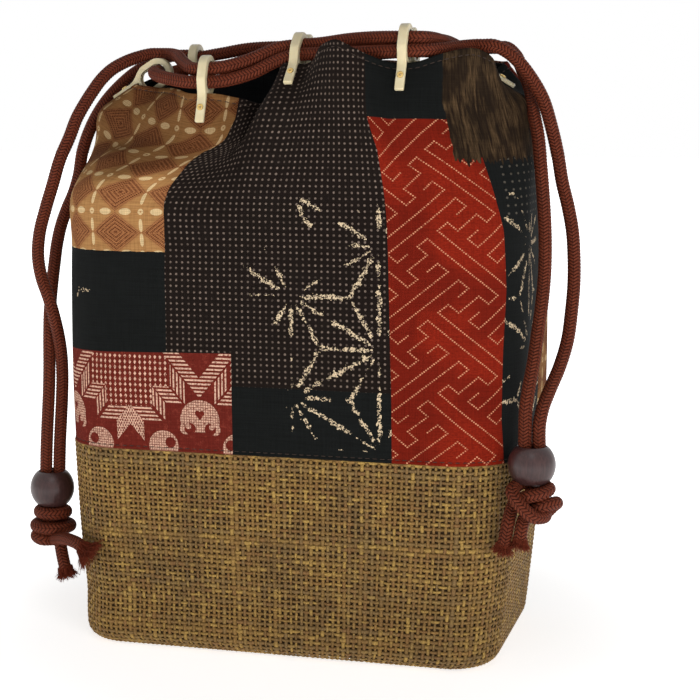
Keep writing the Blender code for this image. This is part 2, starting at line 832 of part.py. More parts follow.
def cord_tube(name, route, spacing_share, finish):
    """A round cord on a smooth curve through its route, with a straight stretch kept at each end."""
    fine = smooth_run(route, CURVE_STEPS)
    line = evenly(fine[CURVE_STEPS:-CURVE_STEPS], spacing_share * CORD)
    line = [fine[0], *line, fine[-1]]
    data = bpy.data.curves.new(name, "CURVE")
    data.dimensions = "3D"
    data.bevel_depth = CORD_RADIUS
    data.bevel_resolution = 2
    data.use_fill_caps = True
    spline = data.splines.new("POLY")
    spline.points.add(len(line) - 1)
    for point, place in zip(spline.points, line):
        point.co = (*place, 1)
    data.materials.append(finish)
    made = bpy.data.objects.new(name, data)
    bpy.context.scene.collection.objects.link(made)
    return made


def shortened(route):
    """The route with both ends cut back by half of the gap that they keep to what they meet."""
    points = [Vector(point) for point in route]
    points[0] += (points[1] - points[0]).normalized() * GAP / 2
    points[-1] += (points[-2] - points[-1]).normalized() * GAP / 2
    return points


def bead(name, centre, finish):
    """A flattened wooden bead whose bore takes both strands."""
    radius, bore, half = BEAD_WIDTH / 2, BEAD_BORE / 2, BEAD_HEIGHT / 2
    lip = math.asin(bore / radius)
    profile = []
    for step in range(CURVE_STEPS + 1):
        angle = lip + (math.pi - 2 * lip) * step / CURVE_STEPS
        height = math.cos(angle) / math.cos(lip) * half
        profile.append((radius * math.sin(angle), height))
    made = turned(name, profile, TURNED_SIDES, finish, looped=True)
    made.location = centre
    return made


def knot(name, strands, tails, finish):
    """The two strands' ends wrapped round themselves, with two frayed tails, as one body."""
    middle = (Vector(strands[0]) + Vector(strands[1])) / 2
    parts = []
    for number, (wrap, drop) in enumerate(zip(KNOT_WRAP_SHARES, KNOT_DROP_SHARES)):
        centre = middle - Vector((0, 0, drop * CORD))
        line = []
        for step in range(WRAP_STEPS):
            angle = 2 * math.pi * step / WRAP_STEPS
            line.append(centre + Vector((math.cos(angle), math.sin(angle), 0)) * wrap * CORD)
        radii = [CORD_RADIUS] * WRAP_STEPS
        parts.append(sweep(f"{name}_wrap_{number}", line, radii, KNOT_SIDES, finish, closed=True))
    drop = KNOT_DROP_SHARES[-1] * CORD + CORD_RADIUS
    core = [middle - Vector((0, 0, GAP / 2)), middle - Vector((0, 0, drop))]
    parts.append(sweep(f"{name}_core", core, [CORD * KNOT_WRAP_SHARES[0]] * 2, KNOT_SIDES, finish))
    for number, tail in enumerate(tails):
        line = smooth_run(tail, 3)
        radii = []
        for i in range(len(line)):
            place = i / (len(line) - 1) * (len(TAIL_FLARE_SHARES) - 1)
            low = min(int(place), len(TAIL_FLARE_SHARES) - 2)
            mix = place - low
            share = TAIL_FLARE_SHARES[low] * (1 - mix) + TAIL_FLARE_SHARES[low + 1] * mix
            radii.append(CORD_RADIUS * share)
        parts.append(sweep(f"{name}_tail_{number}", line, radii, KNOT_SIDES, finish))
    made = parts[0]
    made.name = name
    for other in parts[1:]:
        combine(made, helper(other), "UNION")
    return made


def build_sack():
    """The woven band and base, the patchwork panels and the lining."""
    printed = material("printed_cotton", (0.12, 0.05, 0.03), 0.85)
    woven = material("woven_mat", (0.28, 0.17, 0.06), 0.75)
    dark = material("black_lining", (0.01, 0.01, 0.012), 0.8)
    board = material("stiff_board", (0.35, 0.30, 0.24), 0.9)
    shares = even_shares()

    outer, inner = (
        [ring_points(*ring, shares) for ring in band_rings(inset)] for inset in (0, WEAVE)
    )
    for rings in (outer, inner):
        for point in rings[-1]:
            point.z -= GAP / 2
    wall("woven_band", outer, inner, woven)
    lip = [Vector((p.x, p.y)) for p in outer[0]]
    floor = [Vector((p.x, p.y)) - Vector((p.x, p.y)).normalized() * GAP * 2 for p in lip]
    plate("woven_base", floor, 0, WEAVE, woven)
    board_low = WEAVE + GAP
    plate("base_board", floor, board_low, board_low + BASE_BOARD, board)

    grid, normals, seams, columns = sack_grid()
    bottom = board_low + BASE_BOARD + GAP
    front_ends, back_ends = (seams[1], seams[0]), (seams[0], seams[1])
    front = panel("front_panel", grid, normals, *front_ends, printed)
    back = panel("back_panel", grid, normals, *back_ends, printed)
    lining = line_sack(grid, normals, columns, bottom, dark)

    reach = (CLOTH + GAP + LINING) / 2 + CUT_OVERRUN
    bore = RIVET_SHANK / 2 + GAP
    for name in TABS:
        place = tab_frame(name)
        profile = ((0, -reach), (bore, -reach), (bore, reach), (0, reach))
        drill = helper(turned(f"{name}_drill", profile, RIVET_SIDES, printed))
        drill.matrix_world = place @ Matrix.Rotation(math.pi / 2, 4, "X")
        for thing in (back if name.startswith("back") else front, lining):
            combine(thing, drill, "DIFFERENCE")


def line_sack(grid, normals, columns, bottom, finish):
    """The lining: a thin bag that follows the cloth and the band, with its own floor on the base board."""
    outer, inner = [], []
    top_rows = (len(grid) - 2, len(grid) - 1)
    count = len(grid[0])
    low_depth = WEAVE + LINING_EASE
    halves = (HALF_WIDTH, HALF_DEPTH, HALF_DEPTH)
    for depth, rows in ((low_depth, outer), (low_depth + LINING, inner)):
        start = bottom if rows is outer else bottom + LINING
        bend = BOTTOM_ROUND - depth
        back = BOTTOM_ROUND - math.sqrt(bend**2 - (BOTTOM_ROUND - start) ** 2)
        foot = (share * half for share, half in zip(FOOT_SHARES, halves))
        rows.append(ring_points(start, *(size - back for size in foot), columns))
        rows.append(ring_points(*band_rings(depth)[BOTTOM_STEPS], columns))
    for row, points in enumerate(grid):
        depth = CLOTH + GAP if row in top_rows else low_depth
        outer.append([p - n * depth for p, n in zip(points, normals[row])])
        inner.append([p - n * (depth + LINING) for p, n in zip(points, normals[row])])
    rows = len(outer)
    points = [p for row in outer for p in row] + [p for row in inner for p in row]
    shift = rows * count
    faces = [tuple(reversed(range(count))), tuple(range(shift, shift + count))]
    for row in range(rows - 1):
        for i in range(count):
            a, b = row * count + i, row * count + (i + 1) % count
            faces += split(a, b, count)
            faces += [tuple(reversed([i + shift for i in face])) for face in split(a, b, count)]
    for i in range(count):
        a, b = (rows - 1) * count + i, (rows - 1) * count + (i + 1) % count
        faces.append((a, b, b + shift, a + shift))
    return mesh_object("lining", points, faces, finish)


def build_tabs():
    """The eight tabs and their rivets, each set on its own seat at the hem."""
    ivory = material("ivory_plastic", (0.86, 0.76, 0.55), 0.35)
    brass = material("brass", (0.70, 0.50, 0.20), 0.3, metallic=1.0)
    tab_data, leg = tab_mesh(ivory)
    rivet_data = rivet_mesh(leg, brass)
    for name in TABS:
        place = tab_frame(name)
        tab = bpy.data.objects.new(f"{name}_tab", tab_data)
        tab.matrix_world = place
        rivet = bpy.data.objects.new(f"{name}_rivet", rivet_data)
        rivet.matrix_world = place @ Matrix.Rotation(math.pi / 2, 4, "X")
        for thing in (tab, rivet):
            bpy.context.scene.collection.objects.link(thing)


def build_cord(side, mouth, front, back, tails, wood, braid):
    """One cord with its bead and knot. The two hanging runs, the knot and the bead turn up as a handle."""
    cord_tube(f"{side}_cord_round_mouth", shortened(mouth), MOUTH_SPACING_SHARE, braid)
    cord_tube(f"{side}_cord_front_run", shortened(front), RUN_SPACING_SHARE, braid)
    cord_tube(f"{side}_cord_back_run", shortened(back), RUN_SPACING_SHARE, braid)
    strands = (front[-1], back[-1])
    knot(f"{side}_knot", strands, tails, braid)
    middle = (Vector(front[-1]) + Vector(back[-1])) / 2
    bead(f"{side}_bead", middle + Vector((0, 0, BEAD_HEIGHT / 2 + GAP / 2)), wood)


def main():
    clear_scene()
    build_sack()
    build_tabs()
    wood = material("dark_wood", (0.09, 0.05, 0.05), 0.45)
    braid = material("braided_cord", (0.19, 0.03, 0.015), 0.6)
    build_cord("left", LEFT_CORD_MOUTH, LEFT_FRONT_RUN, LEFT_BACK_RUN, LEFT_TAILS, wood, braid)
    build_cord("right", RIGHT_CORD_MOUTH, RIGHT_FRONT_RUN, RIGHT_BACK_RUN, RIGHT_TAILS, wood, braid)


main()
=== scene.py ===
import math
import random
from functools import partialmethod, reduce

import bmesh
import bpy
import numpy as np
from mathutils import Matrix, Vector
from mathutils.geometry import tessellate_polygon


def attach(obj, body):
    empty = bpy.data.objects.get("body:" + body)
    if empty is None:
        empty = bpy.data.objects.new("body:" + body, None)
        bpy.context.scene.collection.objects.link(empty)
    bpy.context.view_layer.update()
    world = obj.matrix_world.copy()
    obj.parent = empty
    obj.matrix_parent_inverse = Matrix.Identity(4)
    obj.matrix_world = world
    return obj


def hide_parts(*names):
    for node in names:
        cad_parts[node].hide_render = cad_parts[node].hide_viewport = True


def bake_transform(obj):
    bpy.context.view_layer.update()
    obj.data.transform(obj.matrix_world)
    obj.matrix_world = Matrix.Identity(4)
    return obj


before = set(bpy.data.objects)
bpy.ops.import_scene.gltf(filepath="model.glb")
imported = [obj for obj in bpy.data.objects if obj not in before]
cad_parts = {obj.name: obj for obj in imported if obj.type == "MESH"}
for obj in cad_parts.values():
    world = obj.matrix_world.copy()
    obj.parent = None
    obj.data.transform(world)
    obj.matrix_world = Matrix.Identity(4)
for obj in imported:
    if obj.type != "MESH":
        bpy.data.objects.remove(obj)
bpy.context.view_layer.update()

# The sack's sizes, in metres
HALF_WIDTH = 0.1005
HALF_DEPTH = 0.05725
BAG_HEIGHT = 0.257
BAND_HEIGHT = 0.088
BOTTOM_ROUND = 0.0072
CLOTH = 0.0008
LINING = 0.0005
GAP = 0.0003
CLOTH_ROUND = 0.566

# The cords, beads and tabs
BEAD_WIDTH = 0.0194
BEAD_HEIGHT = 0.0153
BEAD_BORE = 0.0119
TAB_WIDTH = 0.0038
TAB_LEG_END = 0.0062
TAB_HEM_OFFSET = 0.0064
TAB_SLOT_CLEARANCE = 0.0006
TAB_LEG = 0.0016
TAB_WEB = 0.0010
TAB_BAND = 0.0020
TAB_HOLE_WIDTH = 0.0088
TAB_HOLE_HEIGHT = 0.0134
TAB_SHOULDER_SHARE = 0.28
TAB_PATCH = 0.010
RIVET_SHANK = 0.0008
RIVET_HEAD = 0.00142
RIVET_BORE = 0.00042
BEAD_RIM = 0.0005
FIBRE_RADIUS = 0.00021
RIVET_ROLL = 0.00042
FRAY_RADIUS = 0.0024
FRAY_ROOT = 0.0012
FIBRE_SWAY = 0.0009
TINY = 1e-12

# Cross-sections: height, half width, half depth and corner radius
FOOT_SECTION = (0.919, 0.935, 0.37)
BAND_SECTIONS = (
    (0.27, 0.938, 0.945, 0.39),
    (0.52, 0.961, 0.960, 0.42),
    (0.77, 0.978, 0.970, 0.45),
    (1.00, 0.991, 0.980, 0.48),
)
CLOTH_SECTIONS = (
    (0.000, 0.991, 0.980, 0.48),
    (0.140, 0.997, 0.993, 0.50),
    (0.310, 1.000, 1.000, 0.53),
    (0.485, 1.000, 1.000, 0.57),
    (0.627, 0.998, 0.985, 0.62),
)

# The hem at each fold line or tab: share of the way round, place as shares of the half width, the
# half depth and the height, the way it faces and how far it leans in, in degrees
HEM = {
    "left": (0.014, -0.748, -0.140, 0.9346, -90, 58),
    "left_fold_a": (0.052, -0.627, -0.314, 0.9292, -60, 50),
    "left_fold_b": (0.091, -0.488, -0.559, 0.9268, -35, 38),
    "front_left": (0.131, -0.328, -0.744, 0.9183, 0, 21),
    "valley_a": (0.162, -0.189, -0.664, 0.9113, -5, 30),
    "valley_b": (0.192, -0.097, -0.506, 0.9047, -15, 48),
    "valley_c": (0.220, -0.032, -0.541, 0.9358, -30, 48),
    "front_middle": (0.244, 0.050, -0.667, 0.9661, 0, 47),
    "peak_a": (0.2785, 0.204, -0.891, 0.9942, -25, 10),
    "peak_b": (0.300, 0.279, -0.996, 1.0000, 5, 2),
    "peak_c": (0.3176, 0.348, -0.934, 0.9864, 20, 10),
    "peak_d": (0.333, 0.408, -0.856, 0.9747, 5, 22),
    "front_right": (0.358, 0.517, -0.777, 0.9669, 0, 26),
    "corner_a": (0.387, 0.657, -0.716, 0.9786, 15, 20),
    "corner_b": (0.419, 0.781, -0.541, 0.9883, 40, 10),
    "corner_c": (0.452, 0.836, -0.297, 0.9681, 70, 25),
    "right": (0.485, 0.786, -0.087, 0.9533, 90, 58),
    "right_seam": (0.5166, 0.836, 0.175, 0.9689, 100, 42),
    "back_corner_a": (0.562, 0.786, 0.472, 0.9728, 135, 28),
    "back_corner_b": (0.602, 0.577, 0.664, 0.9786, 165, 20),
    "back_right": (0.642, 0.383, 0.638, 0.9747, 180, 35),
    "back_fold_a": (0.681, 0.239, 0.716, 0.9767, 175, 20),
    "back_fold_b": (0.717, 0.080, 0.716, 0.9728, 185, 20),
    "back_middle": (0.756, -0.090, 0.629, 0.9669, 180, 40),
    "back_fold_c": (0.794, -0.239, 0.734, 0.9767, 180, 15),
    "back_fold_d": (0.831, -0.428, 0.786, 0.9875, 185, 8),
    "back_left": (0.869, -0.607, 0.576, 0.9467, 180, 30),
    "back_corner_c": (0.9145, -0.756, 0.419, 0.9494, 220, 35),
    "left_seam": (0.963, -0.796, 0.140, 0.9377, 255, 48),
}
TABS = (
    "left", "front_left", "front_middle", "front_right",
    "right", "back_right", "back_middle", "back_left",
)


# The cords' routes, from part.py, in tenths of a millimetre

def route(*places):
    """Places in metres, from tenths of a millimetre."""
    return [tuple(value / 10000 for value in place) for place in places]


LEFT_CORD_MOUTH = route(
    (-680, -12, 2534), (-650, -12, 2534), (-615, -30, 2532), (-585, -60, 2527), (-545, -125, 2516),
    (-500, -210, 2499), (-450, -295, 2480), (-395, -366, 2465), (-330, -387, 2463),
    (-250, -383, 2472), (-130, -343, 2509), (-40, -310, 2548), (50, -302, 2559), (140, -310, 2565),
    (280, -345, 2580), (420, -386, 2585), (520, -397, 2584), (575, -381, 2584), (617, -312, 2581),
    (647, -215, 2564), (684, -135, 2524), (699, -92, 2509), (700, -50, 2506), (697, 0, 2509),
    (655, 100, 2542), (600, 175, 2572), (535, 242, 2592), (465, 288, 2597), (385, 302, 2595),
    (270, 300, 2592), (140, 296, 2582), (20, 288, 2573), (-90, 289, 2569), (-220, 297, 2570),
    (-380, 294, 2562), (-510, 283, 2540), (-610, 275, 2528), (-650, 270, 2534), (-680, 270, 2534),
)
RIGHT_CORD_MOUTH = route(
    (800, -192, 2556), (770, -192, 2556), (735, -210, 2553), (708, -240, 2549), (683, -282, 2544),
    (650, -340, 2538), (595, -400, 2533), (520, -422, 2532), (420, -415, 2529), (280, -382, 2526),
    (140, -352, 2524), (50, -344, 2519), (-35, -351, 2495), (-130, -377, 2448), (-250, -402, 2415),
    (-330, -407, 2409), (-405, -399, 2411), (-490, -360, 2422), (-580, -280, 2437),
    (-640, -180, 2452), (-662, -80, 2458), (-680, 30, 2454), (-710, 130, 2450), (-715, 220, 2457),
    (-675, 288, 2472), (-610, 304, 2478), (-540, 314, 2482), (-480, 328, 2487), (-350, 344, 2500),
    (-200, 335, 2520), (-90, 327, 2525), (50, 336, 2529), (220, 346, 2539), (385, 335, 2548),
    (500, 323, 2546), (590, 293, 2543), (658, 238, 2543), (706, 170, 2547), (736, 136, 2552),
    (770, 120, 2556), (800, 120, 2556),
)
LEFT_FRONT_RUN = route(
    (-680, -12, 2534), (-715, -12, 2534), (-770, -35, 2521), (-817, -75, 2499), (-860, -115, 2468),
    (-893, -155, 2426), (-922, -195, 2370), (-949, -230, 2311), (-970, -255, 2260),
    (-995, -285, 2175), (-1030, -310, 2082), (-1062, -320, 1975), (-1095, -328, 1870),
    (-1125, -335, 1760), (-1133, -342, 1670), (-1117, -358, 1580), (-1087, -362, 1480),
    (-1072, -348, 1370), (-1070, -325, 1260), (-1075, -305, 1140), (-1076, -302, 1060),
    (-1076, -302, 800), (-1076, -302, 552),
)
LEFT_BACK_RUN = route(
    (-680, 270, 2534), (-715, 270, 2534), (-780, 230, 2512), (-845, 165, 2470), (-910, 95, 2400),
    (-965, 30, 2315), (-1010, -25, 2205), (-1035, -60, 2100), (-1046, -80, 2000),
    (-1066, -93, 1925), (-1095, -105, 1855), (-1115, -130, 1780), (-1121, -165, 1705),
    (-1118, -210, 1620), (-1118, -258, 1515), (-1125, -290, 1400), (-1130, -308, 1280),
    (-1132, -316, 1150), (-1132, -318, 1060), (-1132, -318, 800), (-1132, -318, 552),
)
RIGHT_FRONT_RUN = route(
    (800, -192, 2556), (835, -192, 2556), (895, -182, 2530), (940, -170, 2490), (987, -160, 2430),
    (1036, -150, 2346), (1073, -145, 2233), (1103, -145, 2112), (1124, -152, 2003),
    (1151, -160, 1903), (1172, -170, 1802), (1182, -185, 1702), (1187, -210, 1590),
    (1183, -240, 1479), (1175, -282, 1369), (1151, -330, 1265), (1120, -385, 1175),
    (1100, -430, 1108), (1092, -450, 1055), (1092, -452, 930), (1092, -452, 805),
)
RIGHT_BACK_RUN = route(
    (800, 120, 2556), (835, 120, 2556), (883, 90, 2523), (920, 40, 2463), (965, -35, 2388),
    (997, -120, 2285), (1025, -170, 2185), (1040, -202, 2095), (1055, -230, 1986),
    (1068, -252, 1868), (1076, -270, 1750), (1077, -285, 1631), (1072, -318, 1509),
    (1063, -355, 1399), (1056, -398, 1292), (1044, -440, 1188), (1037, -463, 1111),
    (1036, -468, 1050), (1036, -468, 930), (1036, -468, 805),
)


# Curves

def curve_through(points, steps, closed=False):
    """Points on a smooth curve through rows of points. Each stretch gets a number of steps."""
    points = np.asarray(points, float)
    count = len(points)
    ends = np.arange(-1, count + 1).clip(0, count - 1)
    run = points[np.arange(-1, count + 2) % count if closed else ends]
    gaps = np.linalg.norm(np.diff(run, axis=0), axis=-1, keepdims=True)
    chords = np.diff(run, axis=0) / np.maximum(gaps, TINY)
    if not closed:
        gaps[0], gaps[-1] = 0, 0
        chords[0], chords[-1] = chords[1], chords[-2]
    total = np.maximum(gaps[1:] + gaps[:-1], TINY)
    slopes = (chords[1:] * gaps[:-1] + chords[:-1] * gaps[1:]) / total
    if not closed:
        slopes[0], slopes[-1] = chords[1], chords[-2]
    made = []
    for i, number in enumerate(np.broadcast_to(steps, count if closed else count - 1)):
        start, end, span = run[i + 1], run[i + 2], gaps[i + 1]
        for t in np.arange(number) / number:
            made.append(
                start * (2 * t**3 - 3 * t**2 + 1)
                + slopes[i] * span * (t**3 - 2 * t**2 + t)
                + end * (3 * t**2 - 2 * t**3)
                + slopes[i + 1] * span * (t**3 - t**2)
            )
    if not closed:
        made.append(points[-1])
    return np.array(made)


def lengths_along(line):
    steps = np.linalg.norm(np.diff(line, axis=0), axis=1)
    return np.concatenate([[0], np.cumsum(steps)])


def at_lengths(wanted, along, line):
    """The places on a line of many points at wanted lengths along it."""
    return np.stack([np.interp(wanted, along, line[:, k]) for k in range(3)], -1)


def evenly(line, spacing):
    """Points at even distances along a line of many points."""
    along = lengths_along(line)
    count = max(round(along[-1] / spacing), 2)
    return at_lengths(np.linspace(0, along[-1], count + 1), along, line)


def unit(vectors):
    return vectors / np.maximum(np.linalg.norm(vectors, axis=-1, keepdims=True), TINY)


def side_directions(line):
    """Two directions across a line at each of its points, which don't twist along it."""
    ways = unit(np.gradient(line, axis=0))
    start = np.cross(ways[0], (0.0, 0.0, 1.0))
    if np.linalg.norm(start) < 0.1:
        start = np.cross(ways[0], (0.0, 1.0, 0.0))
    first = [unit(start)]
    for way in ways[1:]:
        first.append(unit(first[-1] - way * np.dot(first[-1], way)))
    first = np.array(first)
    return first, np.cross(ways, first)


# The braid's sizes, in metres, and how many strands, sides and rings a pitch it has

BRAID_PITCH = 0.00138
BRAID_COLUMNS = 8
BRAID_SLANT = 0.90
BRAID_CORE = 0.00246
BRAID_RELIEF = 0.00032
BRAID_SIDES = 24
BRAID_RINGS = 4


def new_piece(name, points, faces, finish, uv=None, smooth=True):
    """An object from points and rows of faces. uv names a map and gives each corner's place."""
    mesh = bpy.data.meshes.new(name)
    points = np.asarray(points, np.float32).reshape(-1, 3)
    rows = [np.asarray(face, np.int32) for face in faces if len(face)]
    corners = np.concatenate([row.ravel() for row in rows])
    sizes = np.concatenate([np.full(len(row), row.shape[1], np.int32) for row in rows])
    mesh.vertices.add(len(points))
    mesh.vertices.foreach_set("co", points.ravel())
    mesh.loops.add(len(corners))
    mesh.loops.foreach_set("vertex_index", corners)
    mesh.polygons.add(len(sizes))
    mesh.polygons.foreach_set("loop_start", (np.cumsum(sizes) - sizes).astype(np.int32))
    mesh.update(calc_edges=True)
    if uv is not None:
        map_name, places = uv
        layer = mesh.uv_layers.new(name=map_name)
        layer.data.foreach_set("uv", np.asarray(places, np.float32).ravel())
    mesh.polygons.foreach_set("use_smooth", np.full(len(sizes), smooth))
    mesh.validate()
    mesh.materials.append(finish)
    piece = bpy.data.objects.new(name, mesh)
    bpy.context.scene.collection.objects.link(piece)
    return piece


def carried(piece, body, slot, *nodes):
    """Puts a piece on its body and hides the solids that it stands for; its material slot is not
    used.
    """
    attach(piece, body)
    if nodes:
        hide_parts(*nodes)
    return piece


def cells(rows, columns, wrap=False):
    """The corner rows and columns of every cell of a grid. Wrapped columns run on past the end."""
    across = columns if wrap else columns - 1
    r, c = (n.ravel() for n in np.meshgrid(np.arange(rows - 1), np.arange(across), indexing="ij"))
    return np.stack([r, r, r + 1, r + 1], 1), np.stack([c, c + 1, c + 1, c], 1)


def wrapped(rows, columns, closed=False):
    """The quads round a tube of rings, whose last ring meets its first when it is closed."""
    r, c = cells(rows + closed, columns, wrap=True)
    return (r % rows) * columns + c % columns


def closed_tube(rings, middles):
    """The points, quads and end fans of a tube of rings, with a middle point for each end."""
    rows, around = rings.shape[:2]
    side = np.arange(around)
    after, last, middle = (side + 1) % around, (rows - 1) * around, 0 * side + rows * around
    fans = np.concatenate(
        [np.stack([after, side, middle], 1), np.stack([last + side, last + after, middle + 1], 1)]
    )
    return np.concatenate([rings.reshape(-1, 3), middles]), wrapped(rows, around), fans


def tubes(rings, closed=False, capped=False):
    """The points and faces of many tubes, from rings of points by tube, ring and corner, and the
    tube, ring and corner number at each corner of each face."""
    count, steps, around = rings.shape[:3]
    spans = steps if closed else steps - 1
    grids = np.meshgrid(np.arange(count), np.arange(spans), np.arange(around), indexing="ij")
    shifts = ((0, 0, 0, 0), (0, 0, 1, 1), (0, 1, 1, 0))
    tube, ring, corner = (grid.reshape(-1, 1) + shift for grid, shift in zip(grids, shifts))
    if capped:
        each, ends = np.arange(count)[:, None] + np.zeros(around, int), np.arange(around)
        tube = np.concatenate([tube, each, each])
        ring = np.concatenate([ring, 0 * each, 0 * each + steps - 1])
        corner = np.concatenate([corner, 0 * each + ends[::-1], 0 * each + ends])
    faces = (tube * steps + ring % steps) * around + corner % around
    points = rings.reshape(-1, 3)
    a, b, _, d = points[faces[0]]
    if np.dot(np.cross(b - a, d - a), a + b - 2 * rings[0, 0].mean(axis=0)) < 0:
        faces, tube, ring, corner = (grid[:, ::-1] for grid in (faces, tube, ring, corner))
    return points, faces, (tube, ring, corner % around)


def tidy_normals(mesh):
    """Doubled points merged, and all faces facing outwards."""
    shape = bmesh.new()
    shape.from_mesh(mesh)
    bmesh.ops.remove_doubles(shape, verts=shape.verts, dist=0.000005)
    bmesh.ops.recalc_face_normals(shape, faces=shape.faces)
    shape.to_mesh(mesh)
    shape.free()
    mesh.shade_smooth()
    mesh.set_sharp_from_angle(angle=math.radians(40))


def braided_tube(name, line, finish, turn=0.0):
    """A round cord along a line, with the raised strands of its braid, closed at both ends."""
    line = evenly(np.asarray(line, float), BRAID_PITCH / BRAID_RINGS)
    first, second = side_directions(line)
    along = lengths_along(line)[:, None]
    share = np.arange(BRAID_SIDES) / BRAID_SIDES
    angle = (2 * math.pi * share + turn)[:, None]
    phase = along / BRAID_PITCH + braid_slant(share)
    radius = BRAID_CORE + BRAID_RELIEF * np.abs(np.sin(math.pi * phase)) ** 0.7
    across = first[:, None] * np.cos(angle) + second[:, None] * np.sin(angle)
    rings = line[:, None] + radius[..., None] * across
    points, quads, fans = closed_tube(rings, line[[0, -1]])
    rows, columns = cells(len(line), BRAID_SIDES, wrap=True)
    spacing = along[-1] / (len(line) - 1)
    places = np.stack([columns / BRAID_SIDES, rows * spacing / BRAID_PITCH], -1)
    ends = np.repeat(np.tile(share, 2), 3)
    uv = np.concatenate([places.reshape(-1, 2), np.stack([ends, 0 * ends], 1)])
    return new_piece(name, points, [quads, fans], finish, uv=("braid", uv))


def braid_slant(share):
    """How far a strand has run along the cord, in pitches, at each share of the way round."""
    place = share * BRAID_COLUMNS / 2
    return BRAID_SLANT * np.abs((place % 1) * 2 - 1)


# The camera

camera_data = bpy.data.cameras.new("camera")
camera_data.sensor_width = 36
camera_data.lens = 89.6
camera = bpy.data.objects.new("camera", camera_data)
camera.location = (0.2124, -0.7298, 0.2353)
camera.rotation_euler = (math.radians(90 - 8.3), 0, math.radians(14.89))
bpy.context.scene.collection.objects.link(camera)
bpy.context.scene.camera = camera


# Shader writing

class Wire:
    """A shader value that formulas can be written with."""

    def __init__(self, tree, socket):
        self.tree, self.socket = tree, socket

    def formula(self, operation, *others, clamp=False):
        return formula(self.tree, operation, self, *others, clamp=clamp)

    def __rsub__(self, other):
        return formula(self.tree, "SUBTRACT", other, self)

    def ease(self, low, high):
        """0 below low and 1 above high, easing between."""
        ends = {"Value": self, "From Min": low, "From Max": high}
        return place(self.tree, "MapRange", ends, interpolation_type="SMOOTHSTEP")

    __add__ = __radd__ = partialmethod(formula, "ADD")
    __mul__ = __rmul__ = partialmethod(formula, "MULTIPLY")
    __sub__, __truediv__ = partialmethod(formula, "SUBTRACT"), partialmethod(formula, "DIVIDE")
    __lt__, __gt__ = partialmethod(formula, "LESS_THAN"), partialmethod(formula, "GREATER_THAN")
    __abs__, power = partialmethod(formula, "ABSOLUTE"), partialmethod(formula, "POWER")
    least, most = partialmethod(formula, "MINIMUM"), partialmethod(formula, "MAXIMUM")
    floor, fract = partialmethod(formula, "FLOOR"), partialmethod(formula, "FRACT")
    root, sine = partialmethod(formula, "SQRT"), partialmethod(formula, "SINE")
    fold = partialmethod(formula, "PINGPONG")
    clamped = partialmethod(formula, "ADD", 0.0, clamp=True)


def join(tree, value, socket):
    if isinstance(value, Wire):
        tree.links.new(value.socket, socket)
    elif isinstance(value, tuple) and len(value) == 3 and socket.type == "RGBA":
        socket.default_value = (*value, 1.0)
    else:
        socket.default_value = value


def formula(tree, operation, *values, clamp=False):
    node = tree.nodes.new("ShaderNodeMath")
    node.operation, node.use_clamp = operation, clamp
    for socket, value in zip(node.inputs, values):
        join(tree, value, socket)
    return Wire(tree, node.outputs[0])


def place(tree, kind, inputs=None, output=0, **settings):
    """A node with its settings and inputs. Gives one of its outputs."""
    node = tree.nodes.new("ShaderNode" + kind)
    for key, value in settings.items():
        setattr(node, key, value)
    for key, value in (inputs or {}).items():
        join(tree, value, node.inputs[key])
    return Wire(tree, node.outputs[output])


def blend(tree, mask, first, second, mode="MIX"):
    """The first colour where the mask is 0 and the second where it is 1."""
    node = tree.nodes.new("ShaderNodeMix")
    node.data_type, node.blend_type = "RGBA", mode
    join(tree, mask, node.inputs["Factor"])
    join(tree, first, node.inputs[6])
    join(tree, second, node.inputs[7])
    return Wire(tree, node.outputs[2])


def uv_places(tree, name, scale=1.0):
    """The two running places of a mesh map."""
    node = tree.nodes.new("ShaderNodeUVMap")
    node.uv_map = name
    split = tree.nodes.new("ShaderNodeSeparateXYZ")
    tree.links.new(node.outputs[0], split.inputs[0])
    across, up = Wire(tree, split.outputs[0]), Wire(tree, split.outputs[1])
    return (across, up) if scale == 1.0 else (across * scale, up * scale)


def noise(tree, where, scale, detail=2.0, roughness=0.5):
    """A noise value at a place, or at its x, y and z."""
    if isinstance(where, tuple):
        where = place(tree, "CombineXYZ", dict(zip("XYZ", where)))
    inputs = {"Vector": where, "Scale": scale, "Detail": detail, "Roughness": roughness}
    return place(tree, "TexNoise", inputs)


def object_place(tree):
    return place(tree, "TexCoord", output=3)


def finish(name, **settings):
    """A material with a Principled shader whose plain values are set on its own sockets."""
    material = bpy.data.materials.new(name)
    material.use_nodes = True
    tree = material.node_tree
    shader = tree.nodes["Principled BSDF"]
    for key, value in settings.items():
        join(tree, value, shader.inputs[key.replace("_", " ")])
    return material, tree, shader


def dress(tree, shader, colour, relief, roughness=None):
    """A shader's colour, its relief as height, distance and strength, and any uneven roughness."""
    join(tree, colour, shader.inputs["Base Color"])
    if roughness is not None:
        join(tree, roughness, shader.inputs["Roughness"])
    raised = place(tree, "Bump", dict(zip(("Height", "Distance", "Strength"), relief)))
    join(tree, raised, shader.inputs["Normal"])


def group(name, inputs, outputs):
    """A node group with named inputs and outputs: its tree, its inputs and its output node."""
    tree = bpy.data.node_groups.new(name, "ShaderNodeTree")
    for key, start in inputs.items():
        socket = tree.interface.new_socket(key, in_out="INPUT", socket_type="NodeSocketFloat")
        socket.default_value = start
    for key in outputs:
        tree.interface.new_socket(key, in_out="OUTPUT", socket_type="NodeSocketFloat")
    source = tree.nodes.new("NodeGroupInput")
    given = {key: Wire(tree, source.outputs[key]) for key in inputs}
    return tree, given, tree.nodes.new("NodeGroupOutput")


def use_group(tree, made, inputs):
    """The outputs of a group placed in a material with its own values."""
    node = tree.nodes.new("ShaderNodeGroup")
    node.node_tree = made
    for key, value in inputs.items():
        join(tree, value, node.inputs[key])
    return {socket.name: Wire(tree, socket) for socket in node.outputs}


